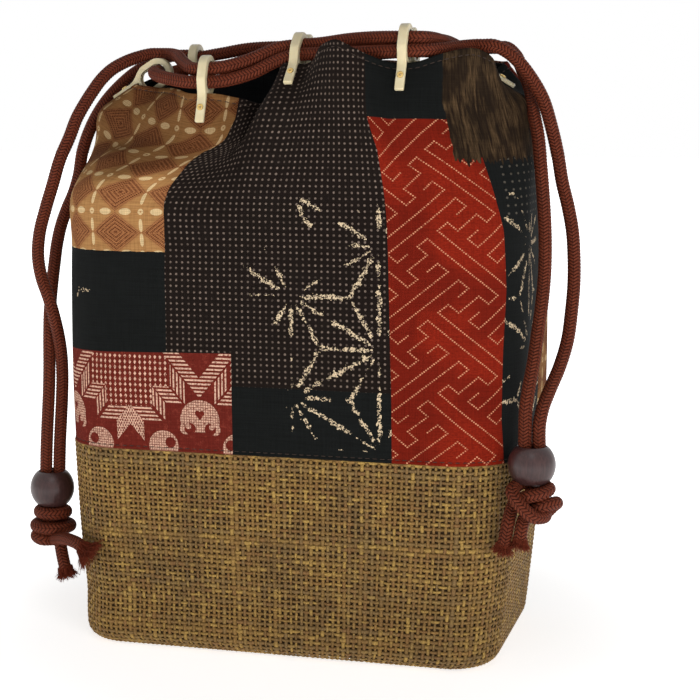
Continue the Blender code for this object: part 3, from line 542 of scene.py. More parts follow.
def braid_group():
    """The strands of a round braid: how raised, how far into a gap between strands, where shade is
    painted, and the fibres in each, on which highlights are partly painted.
    """
    inputs, outputs = {"Round": 0.0, "Along": 0.0}, ("Height", "Gap shade", "Fibres")
    tree, given, out = group("Braid", inputs, outputs)
    place_in = (given["Round"] * (BRAID_COLUMNS / 2)).fract()
    zigzag = abs(place_in * 2.0 - 1.0)
    phase = given["Along"] + zigzag * BRAID_SLANT
    strand = abs((phase * math.pi).sine())
    edge = zigzag.fold(0.5) * 2.0
    fibres = noise(tree, (place_in * 14.0, phase * 9.0, given["Along"] * 0.35), 1.0, detail=1.0)
    join(tree, strand.power(0.6), out.inputs["Height"])
    join(tree, 1.0 - (strand * edge.ease(0.0, 0.22)).ease(0.08, 0.70), out.inputs["Gap shade"])
    join(tree, fibres, out.inputs["Fibres"])
    return tree


def thread_group():
    """A plain weave of fine threads: its height and a light unevenness of colour."""
    inputs, outputs = {"Across": 0.0, "Up": 0.0, "Pitch": 0.4}, ("Height", "Shade")
    tree, given, out = group("Fine threads", inputs, outputs)
    x, y = given["Across"] / given["Pitch"], given["Up"] / given["Pitch"]
    along_x, along_y = (x * math.pi).sine(), (y * math.pi).sine()
    warp, weft = along_x * along_x, along_y * along_y
    over = ((x.floor() + y.floor()) * 0.5).fract() > 0.25
    join(tree, warp * over + weft * (1.0 - over), out.inputs["Height"])
    long_warp = noise(tree, (x, y * 0.03, 1.0), 0.9, detail=1.0)
    long_weft = noise(tree, (x * 0.03, y, 7.0), 0.9, detail=1.0)
    join(tree, (long_warp + long_weft) * 0.5, out.inputs["Shade"])
    return tree


def grain_group():
    """A fine grain that runs through a whole piece."""
    tree, given, out = group("Grain", {"Scale": 1000.0, "Detail": 2.0}, ("Grain",))
    grain = noise(tree, object_place(tree), given["Scale"], detail=given["Detail"])
    join(tree, grain, out.inputs["Grain"])
    return tree


BRAID = braid_group()
THREADS = thread_group()
GRAIN = grain_group()


def grain_at(tree, scale, detail=2.0):
    return use_group(tree, GRAIN, {"Scale": scale, "Detail": detail})["Grain"]


def mottled(name, dark, light, scale, detail=4.0, **settings):
    """A dull finish whose colour and fine relief follow the grain."""
    material, tree, shader = finish(name, **settings)
    grain = grain_at(tree, scale, detail)
    dress(tree, shader, blend(tree, grain, dark, light), (grain, 0.0002, 0.5))
    return material


# The finishes' colours, as linear values
CORD_DARK, CORD_LIGHT = (0.074, 0.0135, 0.0065), (0.110, 0.021, 0.0095)
# Of these two, the first is partly painted highlight on the fibres and the second is painted shade
# in the gaps between strands.
CORD_FIBRE_HIGHLIGHT, CORD_GAP_SHADE = (0.200, 0.048, 0.022), (0.018, 0.004, 0.003)
FRAY_DARK, FRAY_LIGHT = (0.06, 0.010, 0.006), (0.20, 0.040, 0.018)
BEAD_DARK, BEAD_LIGHT = (0.032, 0.013, 0.012), (0.058, 0.025, 0.023)
BEAD_BAND = (0.024, 0.011, 0.013)
IVORY_WARM, IVORY_PALE = (0.66, 0.56, 0.34), (0.73, 0.64, 0.42)
BRASS_DARK, BRASS_LIGHT = (0.52, 0.34, 0.11), (0.78, 0.58, 0.24)
STRAW, STRAW_DARK = (0.280, 0.160, 0.050), (0.185, 0.112, 0.044)
STRAW_GOLD, STRAW_GREY = (0.44, 0.275, 0.078), (0.190, 0.128, 0.062)
STRAW_RUST, STRAW_FIBRE = (0.240, 0.118, 0.045), (0.105, 0.058, 0.020)
LINING_DARK, LINING_LIGHT = (0.0085, 0.0090, 0.0095), (0.018, 0.019, 0.020)
BACKING_DARK, BACKING_LIGHT = (0.024, 0.011, 0.003), (0.044, 0.022, 0.007)
BOARD_DARK, BOARD_LIGHT = (0.24, 0.20, 0.16), (0.38, 0.33, 0.27)
THREAD_DARK, THREAD_LIGHT = (0.018, 0.010, 0.008), (0.05, 0.03, 0.02)
WHITE, FLOOR_WHITE = (1.0, 1.0, 1.0), (0.96, 0.96, 0.96)


def braided_cord_finish():
    material, tree, shader = finish("braided cord", Roughness=0.55, Specular_IOR_Level=0.10)
    across, along = uv_places(tree, "braid")
    braid = use_group(tree, BRAID, {"Round": across, "Along": along})
    tone = grain_at(tree, 130.0, 3.0)
    base = blend(tree, tone.ease(0.3, 0.7), CORD_DARK, CORD_LIGHT)
    # Lighter fibres along the strands: partly the fibres' own colour, partly painted highlight.
    strands = blend(tree, braid["Fibres"].ease(0.25, 0.8), base, CORD_FIBRE_HIGHLIGHT)
    # Painted shade: the gaps between the strands are darkened almost to black.
    colour = blend(tree, braid["Gap shade"] * 0.84, strands, CORD_GAP_SHADE)
    dress(tree, shader, colour, (braid["Height"] + braid["Fibres"] * 0.25, 0.0005, 0.9))
    return material


def bead_finish():
    material, tree, shader = finish("dark wood", Specular_IOR_Level=0.45)
    grain_way = {"Vector": object_place(tree), "Scale": (1.0, 1.0, 0.09)}
    where = place(tree, "Mapping", grain_way, vector_type="POINT")
    fine = noise(tree, where, 1500.0, detail=3.0, roughness=0.6)
    broad = noise(tree, where, 220.0, detail=2.0)
    colour = blend(tree, fine.ease(0.35, 0.7), BEAD_DARK, BEAD_LIGHT)
    colour = blend(tree, broad.ease(0.4, 0.75) * 0.5, colour, BEAD_BAND)
    dress(tree, shader, colour, (fine, 0.0001, 0.35), fine * 0.14 + 0.27)
    return material


def ivory_finish():
    material, tree, shader = finish(
        "ivory plastic",
        Roughness=0.38,
        Subsurface_Weight=0.08,
        Subsurface_Radius=Vector((0.003, 0.002, 0.001)),
        Subsurface_Scale=0.5,
        Specular_IOR_Level=0.45,
    )
    cloud, fine = grain_at(tree, 160.0, 3.0), grain_at(tree, 2500.0, 1.0)
    colour = blend(tree, cloud.ease(0.3, 0.7), IVORY_WARM, IVORY_PALE)
    dress(tree, shader, colour, (fine, 0.00004, 0.3), cloud * 0.12 + 0.30)
    return material


def brass_finish():
    material, tree, shader = finish("brass", Metallic=1.0)
    grain = grain_at(tree, 1800.0, 3.0)
    colour = blend(tree, grain.ease(0.35, 0.7), BRASS_DARK, BRASS_LIGHT)
    dress(tree, shader, colour, (grain, 0.00003, 0.3), grain * 0.25 + 0.18)
    return material


def yarn_finish():
    """Straw-brown yarn, mottled from yarn to yarn and along each one."""
    material, tree, shader = finish("straw yarn", Roughness=0.5, Specular_IOR_Level=0.10)
    along, which = uv_places(tree, "yarn")
    number = which.floor()
    patch = noise(tree, (along * 0.16, number * 7.31, 0.0), 1.0)
    fine = noise(tree, (along * 1.1, which * 9.0, number), 1.0)
    rust = noise(tree, (along * 0.13, number * 3.71, 5.0), 1.0)
    broad = grain_at(tree, 38.0, 3.0)
    each = place(tree, "TexWhiteNoise", {"W": number}, noise_dimensions="1D")
    colour = blend(tree, broad.ease(0.35, 0.68), STRAW, STRAW_DARK)
    for mask, tint in (
        (patch.ease(0.46, 0.66), STRAW_GOLD),
        ((each > 0.72) * 0.40, STRAW_GREY),
        (rust.ease(0.50, 0.66) * 0.6, STRAW_RUST),
        (fine.ease(0.35, 0.8) * 0.55, STRAW_FIBRE),
    ):
        colour = blend(tree, mask, colour, tint)
    dress(tree, shader, colour, (fine, 0.0002, 0.6), fine * 0.3 + 0.34)
    return material


def lining_finish():
    material, tree, shader = finish("black lining", Roughness=0.85, Specular_IOR_Level=0.05)
    across, up = uv_places(tree, "cloth", 1000.0)
    threads = use_group(tree, THREADS, {"Across": across, "Up": up, "Pitch": 0.35})
    shade = threads["Shade"]
    colour = blend(tree, shade.ease(0.3, 0.7), LINING_DARK, LINING_LIGHT)
    dress(tree, shader, colour, (threads["Height"] + shade, 0.0001, 0.5))
    return material


CORD_FINISH = braided_cord_finish()
FRAY_FINISH = mottled(
    "frayed cord ends", FRAY_DARK, FRAY_LIGHT, 900.0,
    detail=2.0, Roughness=0.7, Specular_IOR_Level=0.06,
)
BEAD_FINISH = bead_finish()
IVORY_FINISH = ivory_finish()
BRASS_FINISH = brass_finish()
YARN_FINISH = yarn_finish()
LINING_FINISH = lining_finish()
BACKING_FINISH = mottled(
    "brown backing cloth", BACKING_DARK, BACKING_LIGHT, 1500.0, Roughness=0.9
)
BOARD_FINISH = mottled("grey card", BOARD_DARK, BOARD_LIGHT, 700.0, Roughness=0.9)
THREAD_FINISH = mottled(
    "sewing thread", THREAD_DARK, THREAD_LIGHT, 1800.0, Roughness=0.9
)


# The printed cotton: one cloth printed like a patchwork, measured in millimetres round and up

def dye(red, green, blue):
    """A colour from the 0 to 255 values that a colour chart gives."""
    return tuple(((value / 255 + 0.055) / 1.055) ** 2.4 for value in (red, green, blue))


# The prints' dyes, and the shades that multiply them
BROWN_BLACK, DOT_BEIGE = dye(29, 23, 20), dye(128, 112, 101)
TAN, TAN_LIGHT, TAN_STREAK = dye(164, 110, 70), dye(178, 132, 82), dye(128, 84, 50)
TAN_DASH, TAN_CREAM = dye(94, 48, 28), dye(226, 200, 152)
DARK_RED, RED_SPECK, RED_CREAM = dye(104, 36, 28), dye(134, 58, 46), dye(234, 190, 164)
VERMILION, VERMILION_STREAK, VERMILION_DEEP = dye(122, 30, 17), dye(140, 37, 20), dye(113, 28, 16)
FRET_CREAM, LEAF_CREAM, FAINT_DOTS = dye(228, 156, 118), dye(224, 201, 166), dye(150, 140, 125)
WOOD_DARK, WOOD_LIGHT, WOOD_SHADE = dye(34, 25, 18), dye(92, 72, 50), dye(33, 25, 19)
BLACK_CLOTH, BLACK_STREAK = dye(19, 20, 20), dye(28, 30, 29)
TAN_IN_SHADE, WEAVE_SHADE = (0.42, 0.37, 0.34), (0.45, 0.42, 0.40)


def within(value, low, high):
    return (value > low) * (value < high)


def distance(a, b):
    return (a * a + b * b).root()


def disc(x, y, middle, radius):
    """1 inside a circle."""
    a, b = x - middle[0], y - middle[1]
    return (a * a + b * b) < radius**2


def ruled(value, lines, share):
    """1 on evenly spaced lines, at so many lines a millimetre."""
    return (value * lines).fract() < share


def centred(value, pitch):
    """The distance from the middle of the nearest of evenly spaced cells."""
    return ((value / pitch).fract() - 0.5) * pitch


def traced(tree, up, pairs, reach=350.0):
    """The place across of an edge that wanders, through pairs of places up and across."""
    node = tree.nodes.new("ShaderNodeFloatCurve")
    curve = node.mapping.curves[0]
    for number, pair in enumerate(pairs):
        spot = (pair[0] / reach, pair[1] / reach)
        point = curve.points[number] if number < 2 else curve.points.new(*spot)
        point.location, point.handle_type = spot, "VECTOR"
    node.mapping.update()
    join(tree, up / reach, node.inputs["Value"])
    return Wire(tree, node.outputs[0]) * reach


DOT_PITCH = (2.57, 2.45)


def dotted_cotton(tree, x, y):
    """Rows of small beige dots on brown-black."""
    a, b = centred(x, DOT_PITCH[0]), centred(y, DOT_PITCH[1])
    blot = noise(tree, (x, y), 0.9)
    pale = noise(tree, (x, y, 4.0), 0.25)
    dot = 1.0 - (distance(a, b) + (blot - 0.5) * 0.45).ease(0.28, 0.62)
    return blend(tree, dot * pale.ease(0.2, 0.62), BROWN_BLACK, DOT_BEIGE)


LATTICE_WIDTH, LATTICE_HEIGHT = 23.1, 17.25
LATTICE_MIDDLE = (95.5, 91.4)


def tan_lattice(tree, x, y):
    """Nested diamonds of brown dashes, with cream petals where their bands cross, and painted shade
    over the upper part.
    """
    across, up = (x - LATTICE_MIDDLE[0]) / LATTICE_WIDTH, (y - LATTICE_MIDDLE[1]) / LATTICE_HEIGHT
    a, b = ((across + 0.5).fract() - 0.5) * 2.0, ((up + 0.5).fract() - 0.5) * 2.0
    far, near = abs(a + b).most(abs(a - b)), abs(a + b).least(abs(a - b))
    rings = within((far * 5.4).fract(), 0.08, 0.66)
    dashes = rings * ((near * 9.5 + 0.3).fract() < 0.66) * (far < 0.97)
    smudge = noise(tree, (x, y), 0.5)
    streak = noise(tree, (x * 0.12, y * 3.0), 1.0)
    ground = blend(tree, far.ease(0.85, 1.15), TAN, TAN_LIGHT)
    ground = blend(tree, streak.ease(0.4, 0.7) * 0.5, ground, TAN_STREAK)
    colour = blend(tree, dashes * smudge.ease(0.15, 0.5), ground, TAN_DASH)
    # Painted shade: from about 108 mm up, fully from about 132 mm, along an edge that wanders, the
    # tan print is multiplied towards TAN_IN_SHADE and its cream petals are dimmed, standing in for
    # the shade on the upper cloth.
    drift = noise(tree, (x, y, 8.0), 0.045) - 0.5
    painted_upper_shade = (y + drift * 34.0).ease(108.0, 132.0)
    colour = blend(tree, painted_upper_shade * 0.8, colour, TAN_IN_SHADE, "MULTIPLY")
    e, f = (across.fract() - 0.5) * LATTICE_WIDTH, (up.fract() - 0.5) * LATTICE_HEIGHT
    e_in, f_in = (abs(e) - 7.0) / 2.7, (abs(f) - 5.6) / 2.7
    petals = ((e_in * e_in + f * f / 1.9) < 1.0).most((f_in * f_in + e * e / 0.75) < 1.0)
    petals = petals.most(disc(e, f, (0.0, 0.0), 1.25) - disc(e, f, (0.0, 0.0), 0.4))
    mesh = ruled(x, 1.3, 0.24).most(ruled(y, 1.3, 0.24))
    cream = petals * (1.0 - mesh * 0.55) * (1.0 - painted_upper_shade * 0.45)
    return blend(tree, cream, colour, TAN_CREAM)


RED_MIDDLE = 131.2
RED_HALF = 31.0


def red_print(tree, x, y):
    """Dark red with a dotted field, striped ribbons folded to and fro, and curled cloud shapes."""
    side = abs(x - RED_MIDDLE).fold(RED_HALF)
    slope = y - side * 1.19
    flat = within(slope, 23.1, 31.4).most(within(slope, 3.2, 11.4) * within(y, 20.0, 27.4))
    flat = flat.most(within(slope, -17.4, -7.4) * within(y, 12.2, 18.3))
    upright = within(slope, 12.8, 21.9) * within(side, 6.4, 12.6)
    upright = upright.most(within(slope, -5.0, 2.4) * within(side, 15.2, 20.6))
    hatch = within(slope, -26.0, -17.6) * within(side, 25.0, RED_HALF)
    crossed = ruled(x * 0.9 + y * 0.45, 1.0, 0.4).most(ruled(x * 0.9 - y * 0.45, 1.0, 0.4))
    field = ((side > 12.9) * (y > 27.6)).most((side > 20.9) * (y > 18.6)) * (y < 40.4)
    dots = (abs(centred(x, 2.22)) / 0.62 + abs(centred(y, 2.41)) / 0.98) < 1.0
    cloud = disc(side, y, (0.0, 13.6), 8.6) * (y > 8.4) + disc(side, y, (6.4, 9.8), 2.5)
    curl = cloud * (1.0 - disc(side, y, (4.4, 9.9), 2.5)) + disc(side, y, (5.2, 10.9), 1.2)
    notch = disc(side, y, (0.95, 16.6), 1.15).most((side < (y - 13.6) * 0.72) * (y < 16.6))
    low = disc(side, y, (16.4, 2.0), 6.6) * (1.0 - disc(side, y, (13.4, 3.6), 2.3))
    clouds = (curl.clamped() * (1.0 - notch)).most(low)
    mesh = ruled(x, 0.95, 0.26).most(ruled(y, 0.95, 0.26))
    cream = (flat * ruled(y, 0.63, 0.47)).most(upright * ruled(x, 0.66, 0.47))
    cream = cream.most(hatch * crossed).most(field * dots).most(clouds * (1.0 - mesh * 0.8))
    worn = noise(tree, (x, y), 1.1, detail=3.0)
    speck = noise(tree, (x, y, 3.0), 0.5, detail=4.0, roughness=0.8)
    red = blend(tree, speck.ease(0.5, 0.72), DARK_RED, RED_SPECK)
    return blend(tree, cream * worn.ease(0.26, 0.56) * 0.92, red, RED_CREAM)


FRET_STEP = (1.606, 1.302)
FRET_MIDDLE = (222.7, 49.1)
# The bars of half a key: whether each runs along the first way, its level, first and last step
FRET_BARS = (
    (True, 5, -5, 0), (False, -5, 5, 10), (True, 10, -5, 13),
    (False, 5, 0, 5), (True, 5, 5, 10), (False, 10, -13, 5),
)


def key_fret(tree, x, y):
    """Vermilion with dotted cream lines in a key fret on a slanted lattice."""
    p, q = (x - FRET_MIDDLE[0]) / FRET_STEP[0], (y - FRET_MIDDLE[1]) / FRET_STEP[1]
    s, t = (p - q + 12.5).fold(25.0) - 12.5, (p + q + 12.5).fold(25.0) - 12.5
    i, j = (s + 0.5).floor(), (t + 0.5).floor()
    lines = within(i, -0.5, 0.5) * within(j, -5.5, 5.5)
    for a, b in ((i, j), (i * -1.0, j * -1.0)):
        for along, level, first, last in FRET_BARS:
            across, up = (b, a) if along else (a, b)
            bar = within(across, level - 0.5, level + 0.5) * within(up, first - 0.5, last + 0.5)
            lines = lines.most(bar)
    dot = 1.0 - distance(s - i, t - j).ease(0.20, 0.44)
    worn = noise(tree, (x, y), 1.3).ease(0.30, 0.60) * 0.85 + 0.15
    streak = noise(tree, (x * 0.7, y * 2.4), 1.0)
    broad = noise(tree, (x, y, 6.0), 0.035, detail=1.0)
    red = blend(tree, streak.ease(0.35, 0.65), VERMILION, VERMILION_STREAK)
    red = blend(tree, broad.ease(0.42, 0.62), VERMILION_DEEP, red)
    return blend(tree, lines * dot * worn, red, FRET_CREAM)


LEAF_SIZE = 41.8
LEAF_MIDDLE = (171.1, 66.9)


def hemp_leaf(tree, x, y):
    """Broken brush strokes along the lines of a hemp-leaf lattice: 1 on the strokes."""
    step = LEAF_SIZE * math.sqrt(3) / 2
    across, up = x - LEAF_MIDDLE[0], y - LEAF_MIDDLE[1]
    lines = []
    for degrees in (0, 60, 120):
        c, s = math.cos(math.radians(degrees)), math.sin(math.radians(degrees))
        a = (across * c + up * s) / step
        b = (up * c - across * s) / (LEAF_SIZE / 2)
        row = (b + 0.5).floor()
        inner = abs(((a - row) * 0.5 + 0.5).fract() - 0.5) * 2.0
        lines.append(abs((a + 0.5).fract() - 0.5) * step)
        lines.append(abs(b - row) * (LEAF_SIZE / 2) + (inner > 0.66) * 50.0)
    nearest = reduce(Wire.least, lines)
    a, b = across / (2 * step), up / LEAF_SIZE
    for shift in (0.0, 0.5):
        c = ((a + 0.5 + shift).fract() - 0.5) * (2 * step)
        d = ((b + 0.5 + shift).fract() - 0.5) * LEAF_SIZE
        nearest = nearest + (6.0 - distance(c, d)).most(0.0) * 0.30
    inked = [1.0 - distance(x - middle, y - height) / reach for middle, height, reach in INK]
    width = noise(tree, (x, y), 0.42, roughness=0.7)
    speck = noise(tree, (x, y, 9.0), 1.5)
    gaps = noise(tree, (x, y), 0.13, detail=1.0)
    wet = (reduce(Wire.most, inked) * 2.2 + (gaps - 0.52) * 5.0).clamped()
    stroke = ((nearest + (width - 0.5) * 4.2) < wet * 0.82) * (wet > 0.05)
    return stroke * speck.ease(0.44, 0.56)


def wood_grain(tree, x, y):
    """Brown streaks that run up the cloth."""
    streak = noise(tree, (x * 0.95, y * 0.085), 1.0, detail=4.0, roughness=0.72)
    broad = noise(tree, (x * 0.15, y * 0.08, 2.0), 1.0, detail=2.0)
    colour = blend(tree, streak.ease(0.36, 0.68), WOOD_DARK, WOOD_LIGHT)
    return blend(tree, broad.ease(0.40, 0.60) * 0.8, colour, WOOD_SHADE)


# Edges that wander, as places up and across
TAN_EDGE = (
    (0, 117.3), (83, 116.9), (97, 117.6), (107, 116.6), (116, 113.8),
    (127, 109.6), (139, 105.2), (146, 109.5), (155, 113.0), (175, 112.2),
)
# Where brush strokes take ink: a middle across and up, and a reach
INK = (
    (178, 101, 6), (195, 93, 8), (207, 99, 6), (159, 73, 11), (171.5, 56, 10), (184, 66, 10),
    (195, 54, 11), (202, 79, 9), (207, 64, 17), (184, 48, 10), (199, 43, 12), (178, 34, 9),
    (190, 32, 9), (181, 22, 12), (197, 25, 8), (191, 14, 9), (208, 17, 15), (265, 100, 9),
    (289, 88, 16), (270, 75, 11), (285, 68, 14), (262, 57, 6), (269, 54, 9), (264, 27, 10),
    (298, 22, 16), (300, 55, 10), (52, 62, 5), (78, 62, 6),
)
FRET_LEFT = (
    (0, 212.4), (46, 211.5), (86, 210.9), (106, 210.1), (126, 209.8), (139, 206.6), (175, 204.5),
)
FRET_RIGHT = (
    (0, 259.6), (18, 257.4), (46, 257.7), (70, 259.0),
    (94, 258.5), (105, 256.2), (123, 253.5), (175, 250),
)
# The back repeats the front's print from this place on, shifted and turned over
BACK_START, BACK_SHIFT, BACK_TURN = 313.33, 283.0, 168.0
# The straight edges of the patches
TAN_FOOT, RED_RIGHT, RED_TOP, DOTTED_FOOT = 83.6, 145.3, 41.8, 28.6
FRET_TOP, BROWN_LEFT, BROWN_RIGHT, BROWN_FOOT = 139.6, 241.4, 292.0, 122.5


def printed_cotton_finish():
    material, tree, shader = finish("printed cotton", Roughness=0.8, Specular_IOR_Level=0.04)
    across, up = uv_places(tree, "cloth", 1000.0)
    behind = across > BACK_START
    x, y = across - behind * BACK_SHIFT, up + behind * (BACK_TURN - up * 2.0)
    wobble = noise(tree, (x, y, 5.0), 0.18, detail=3.0) - 0.5
    ragged = noise(tree, (x * 0.5, y * 0.04, 3.0), 1.0, detail=3.0) - 0.5
    fret_left, fret_right = traced(tree, y, FRET_LEFT), traced(tree, y, FRET_RIGHT)
    left = x < traced(tree, y, TAN_EDGE)
    red = (x < RED_RIGHT) * (y < RED_TOP + 0.02 * (x - 120.0))
    dotted = (1.0 - left) * (x < fret_left) * (y > DOTTED_FOOT) * (1.0 - red)
    sparse = within(x, 259.0, 300.0) * within(y, 100.0, 132.0)
    dots = disc((x / 4.9).fract(), (y / 3.2).fract(), (0.5, 0.5), 0.15)
    tan = left * (y > TAN_FOOT - wobble * 1.2)
    fret = (x > fret_left) * (x < fret_right) * (y < FRET_TOP)
    brown = within(x + wobble * 3.0, BROWN_LEFT, BROWN_RIGHT) * (y > BROWN_FOOT + ragged * 13.0)
    colour = blend(tree, noise(tree, (x * 0.05, y * 3.2), 1.0), BLACK_CLOTH, BLACK_STREAK)
    for mask, print_colour in (
        (dotted, dotted_cotton(tree, x, y)),
        (sparse * dots * 0.30, FAINT_DOTS),
        (hemp_leaf(tree, x, y), LEAF_CREAM),
        (tan, tan_lattice(tree, x, y)),
        (red, red_print(tree, x, y)),
        (fret, key_fret(tree, x, y)),
        (brown, wood_grain(tree, x, y)),
    ):
        colour = blend(tree, mask, colour, print_colour)
    threads = use_group(tree, THREADS, {"Across": across, "Up": up, "Pitch": 0.42})
    shade = threads["Shade"]
    dark = (1.0 - shade.ease(0.2, 0.66)) * 0.6
    colour = blend(tree, dark, colour, WEAVE_SHADE, "MULTIPLY")
    dress(tree, shader, colour, (threads["Height"] + shade * 1.4, 0.00012, 0.5))
    return material


# The cords

# How far in the left cord lies, at what height and over what reach
LEFT_LEAN, LEAN_HEIGHT, LEAN_REACH = 0.0030, 0.118, 0.033


def cord_line(front, mouth, back):
    """One cord from its knot up the front run, round the mouth and down the back run. The left
    one lies a little further in where the photographed one does."""
    line = curve_through([*reversed(front), *mouth[1:], *back[1:]], 10)
    if line[0, 0] < 0:
        line[:, 0] += LEFT_LEAN * np.exp(-(((line[:, 2] - LEAN_HEIGHT) / LEAN_REACH) ** 2))
    return line


def lay_cord(side, front, mouth, back, start, end):
    cord = braided_tube(f"{side}_cord", cord_line(front, mouth, back), CORD_FINISH)
    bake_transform(cord)
    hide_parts(*(f"{side}_cord_{part}" for part in ("round_mouth", "front_run", "back_run")))
    return cord


def state_cord(cord, front, mouth, back, with_pieces):
    """Works out the cord's line from its runs; no free length, path or end pieces are stated, and
    the cord and with_pieces are not used.
    """
    line = cord_line(front, mouth, back)


LEFT_RUNS = (LEFT_FRONT_RUN, LEFT_CORD_MOUTH, LEFT_BACK_RUN)
RIGHT_RUNS = (RIGHT_FRONT_RUN, RIGHT_CORD_MOUTH, RIGHT_BACK_RUN)
LEFT_CUT = dict(start=(-0.064, 0.013, 0.2534), end=(-0.072, 0.013, 0.2534))
RIGHT_CUT = dict(start=(0.076, -0.0036, 0.2556), end=(0.084, -0.0036, 0.2556))
LEFT_CORD = lay_cord("left", *LEFT_RUNS, **LEFT_CUT)
RIGHT_CORD = lay_cord("right", *RIGHT_RUNS, **RIGHT_CUT)


# The sack's surface

# Which corner's centre each stretch of a rounded rectangle starts from, in shares of its reach
STRETCH_CENTRES = (
    (-1, 0), (-1, -1), (-1, -1), (1, -1), (1, -1), (1, 1), (1, 1), (-1, 1), (-1, 1),
)


def section(half_width, half_depth, corner, share):
    """Points on rounded rectangles and the ways they face, at shares of the way round from the
    left, and the distance round."""
    width, depth, corner, share = np.broadcast_arrays(half_width, half_depth, corner, share)
    x, y, bend = width - corner, depth - corner, math.pi / 2 * corner
    lengths = (y, bend, 2 * x, bend, 2 * y, bend, 2 * x, bend, y)
    around = sum(lengths)
    points, facing = np.zeros((2, *share.shape, 2))
    begin = np.zeros(share.shape)
    for stretch, (length, centre) in enumerate(zip(lengths, STRETCH_CENTRES)):
        along = share % 1 * around - begin
        here = (along >= -TINY) & (along <= length + TINY)
        travel = math.pi / 2 * (stretch // 2 - 1)
        turn, run = (along / corner, 0.0) if stretch % 2 else (0 * along, along)
        fx, fy = np.cos(travel - math.pi / 2 + turn), np.sin(travel - math.pi / 2 + turn)
        px = centre[0] * x + fx * corner + run * math.cos(travel)
        py = centre[1] * y + fy * corner + run * math.sin(travel)
        points[here] = np.stack([px, py], -1)[here]
        facing[here] = np.stack([fx, fy], -1)[here]
        begin = begin + length
    return points, facing, around


def eased(t):
    return t * t * (3 - 2 * t)


SLIM_SHARE = 0.020


def slimmed(points):
    """Points moved in a little at the sack's left side, between its foot and its shoulder."""
    x, z = points[..., 0], points[..., 2]
    share = eased(np.clip((z - 0.004) / 0.022, 0, 1)) * eased(np.clip((0.222 - z) / 0.045, 0, 1))
    moved = points.copy()
    moved[..., 0] = x * (1 - SLIM_SHARE * share * (x < 0))
    return moved


def facing(degrees):
    angle = math.radians(degrees)
    return np.array((math.sin(angle), -math.cos(angle), 0.0))


def hem_frame(name):
    """The hem's place at a fold line or tab, with its along, outward and upward directions."""
    _, x, y, z, way, lean = HEM[name]
    spot = np.array((x * HALF_WIDTH, y * HALF_DEPTH, z * BAG_HEIGHT))
    out, tilt = facing(way), math.radians(lean)
    upward = np.array((0, 0, math.cos(tilt))) - out * math.sin(tilt)
    normal = out * math.cos(tilt) + np.array((0, 0, math.sin(tilt)))
    return spot, np.cross(upward, normal), normal, upward


def fold_lines():
    """The fold lines round the sack, each with its hem row and its offset along the hem."""
    lines = []
    for name in HEM:
        offsets = (-TAB_PATCH / 2, TAB_PATCH / 2) if name in TABS else (0.0,)
        lines += [(name, offset) for offset in offsets]
    return lines


SHOULDER_SHARE = 0.06
TAB_DROP = 0.018
TAB_STRAIGHT = 0.0135
COLUMN_STEP = 0.0012


def cloth_surface():
    """The cloth's outer surface as rows of points from the band's edge to the hem, its facing
    directions, each column's share of the way round and its first column at each side seam."""
    lines = fold_lines()
    rows, row_shares = [], []
    for height, width, depth, corner in CLOTH_SECTIONS:
        sizes = (width * HALF_WIDTH, depth * HALF_DEPTH, corner * HALF_DEPTH)
        around = section(*sizes, 0.0)[2]
        row_shares.append(np.array([HEM[name][0] + offset / around for name, offset in lines]))
        flat, _, _ = section(*sizes, row_shares[-1])
        level = BAND_HEIGHT + height * (BAG_HEIGHT - BAND_HEIGHT)
        rows.append(np.column_stack([flat, np.full(len(lines), level)]))
    tops = []
    for (name, offset), start in zip(lines, rows[-1]):
        spot, along, _, upward = hem_frame(name)
        hem = spot + along * offset
        low = hem - upward * TAB_DROP
        bulge = np.linalg.norm(low - start) * SHOULDER_SHARE
        shoulder = (start + low) / 2 + (np.array((0, 0, 1.0)) - upward) * bulge
        tops.append([shoulder, low, hem - upward * TAB_STRAIGHT, hem])
    upright = curve_through(np.array([*rows, *np.swapaxes(tops, 0, 1)]), 12)
    columns = []
    for line in upright.swapaxes(0, 1):
        along = lengths_along(line)
        columns.append(at_lengths(cloth_rows(along[-1]), along, line))
    starts = row_shares[0]
    ends = np.append(starts[1:], starts[0] + 1)
    steps = [max(round(width * CLOTH_ROUND / COLUMN_STEP), 2) for width in ends - starts]
    fine = curve_through(columns, steps, closed=True)
    shares = [a + (b - a) * np.arange(n) / n for a, b, n in zip(starts, ends, steps)]
    points = slimmed(fine.transpose(1, 0, 2))
    firsts = np.cumsum(steps) - steps
    seams = [int(firsts[i]) for i, (name, _) in enumerate(lines) if name.endswith("seam")]
    return points, surface_normals(points), np.concatenate(shares), seams


LOW_ROWS = (0.0, 0.0004, 0.0008, 0.0012, 0.0018, 0.0028)
HEM_ROWS = (0.0055, 0.0042, 0.0034, 0.0029, 0.0025, 0.0021, 0.0015, 0.0008, 0.0)
MIDDLE_ROWS = 130


def cloth_rows(height):
    """Distances up a column of cloth: close together at the sewn edges and even between."""
    middle = np.linspace(LOW_ROWS[-1], height - HEM_ROWS[0], MIDDLE_ROWS + 2)[1:-1]
    return np.concatenate([LOW_ROWS, middle, height - np.array(HEM_ROWS)])


def surface_normals(points):
    """Outward directions of a closed band of rows of points."""
    around = np.roll(points, -1, axis=1) - np.roll(points, 1, axis=1)
    upward = np.gradient(points, axis=0)
    return unit(np.cross(around, upward))


def waves(across, up, rows):
    """A sum of soft folds and dents, listed as centre, half sizes, turn in degrees and height."""
    total = np.zeros(np.broadcast(across, up).shape)
    for x, y, wide, tall, turn, height in rows:
        c, s = math.cos(math.radians(turn)), math.sin(math.radians(turn))
        dx, dy = across - x, up - y
        a, b = (dx * c + dy * s) / wide, (dy * c - dx * s) / tall
        total = total + height * np.exp(-(a**2 + b**2))
    return total


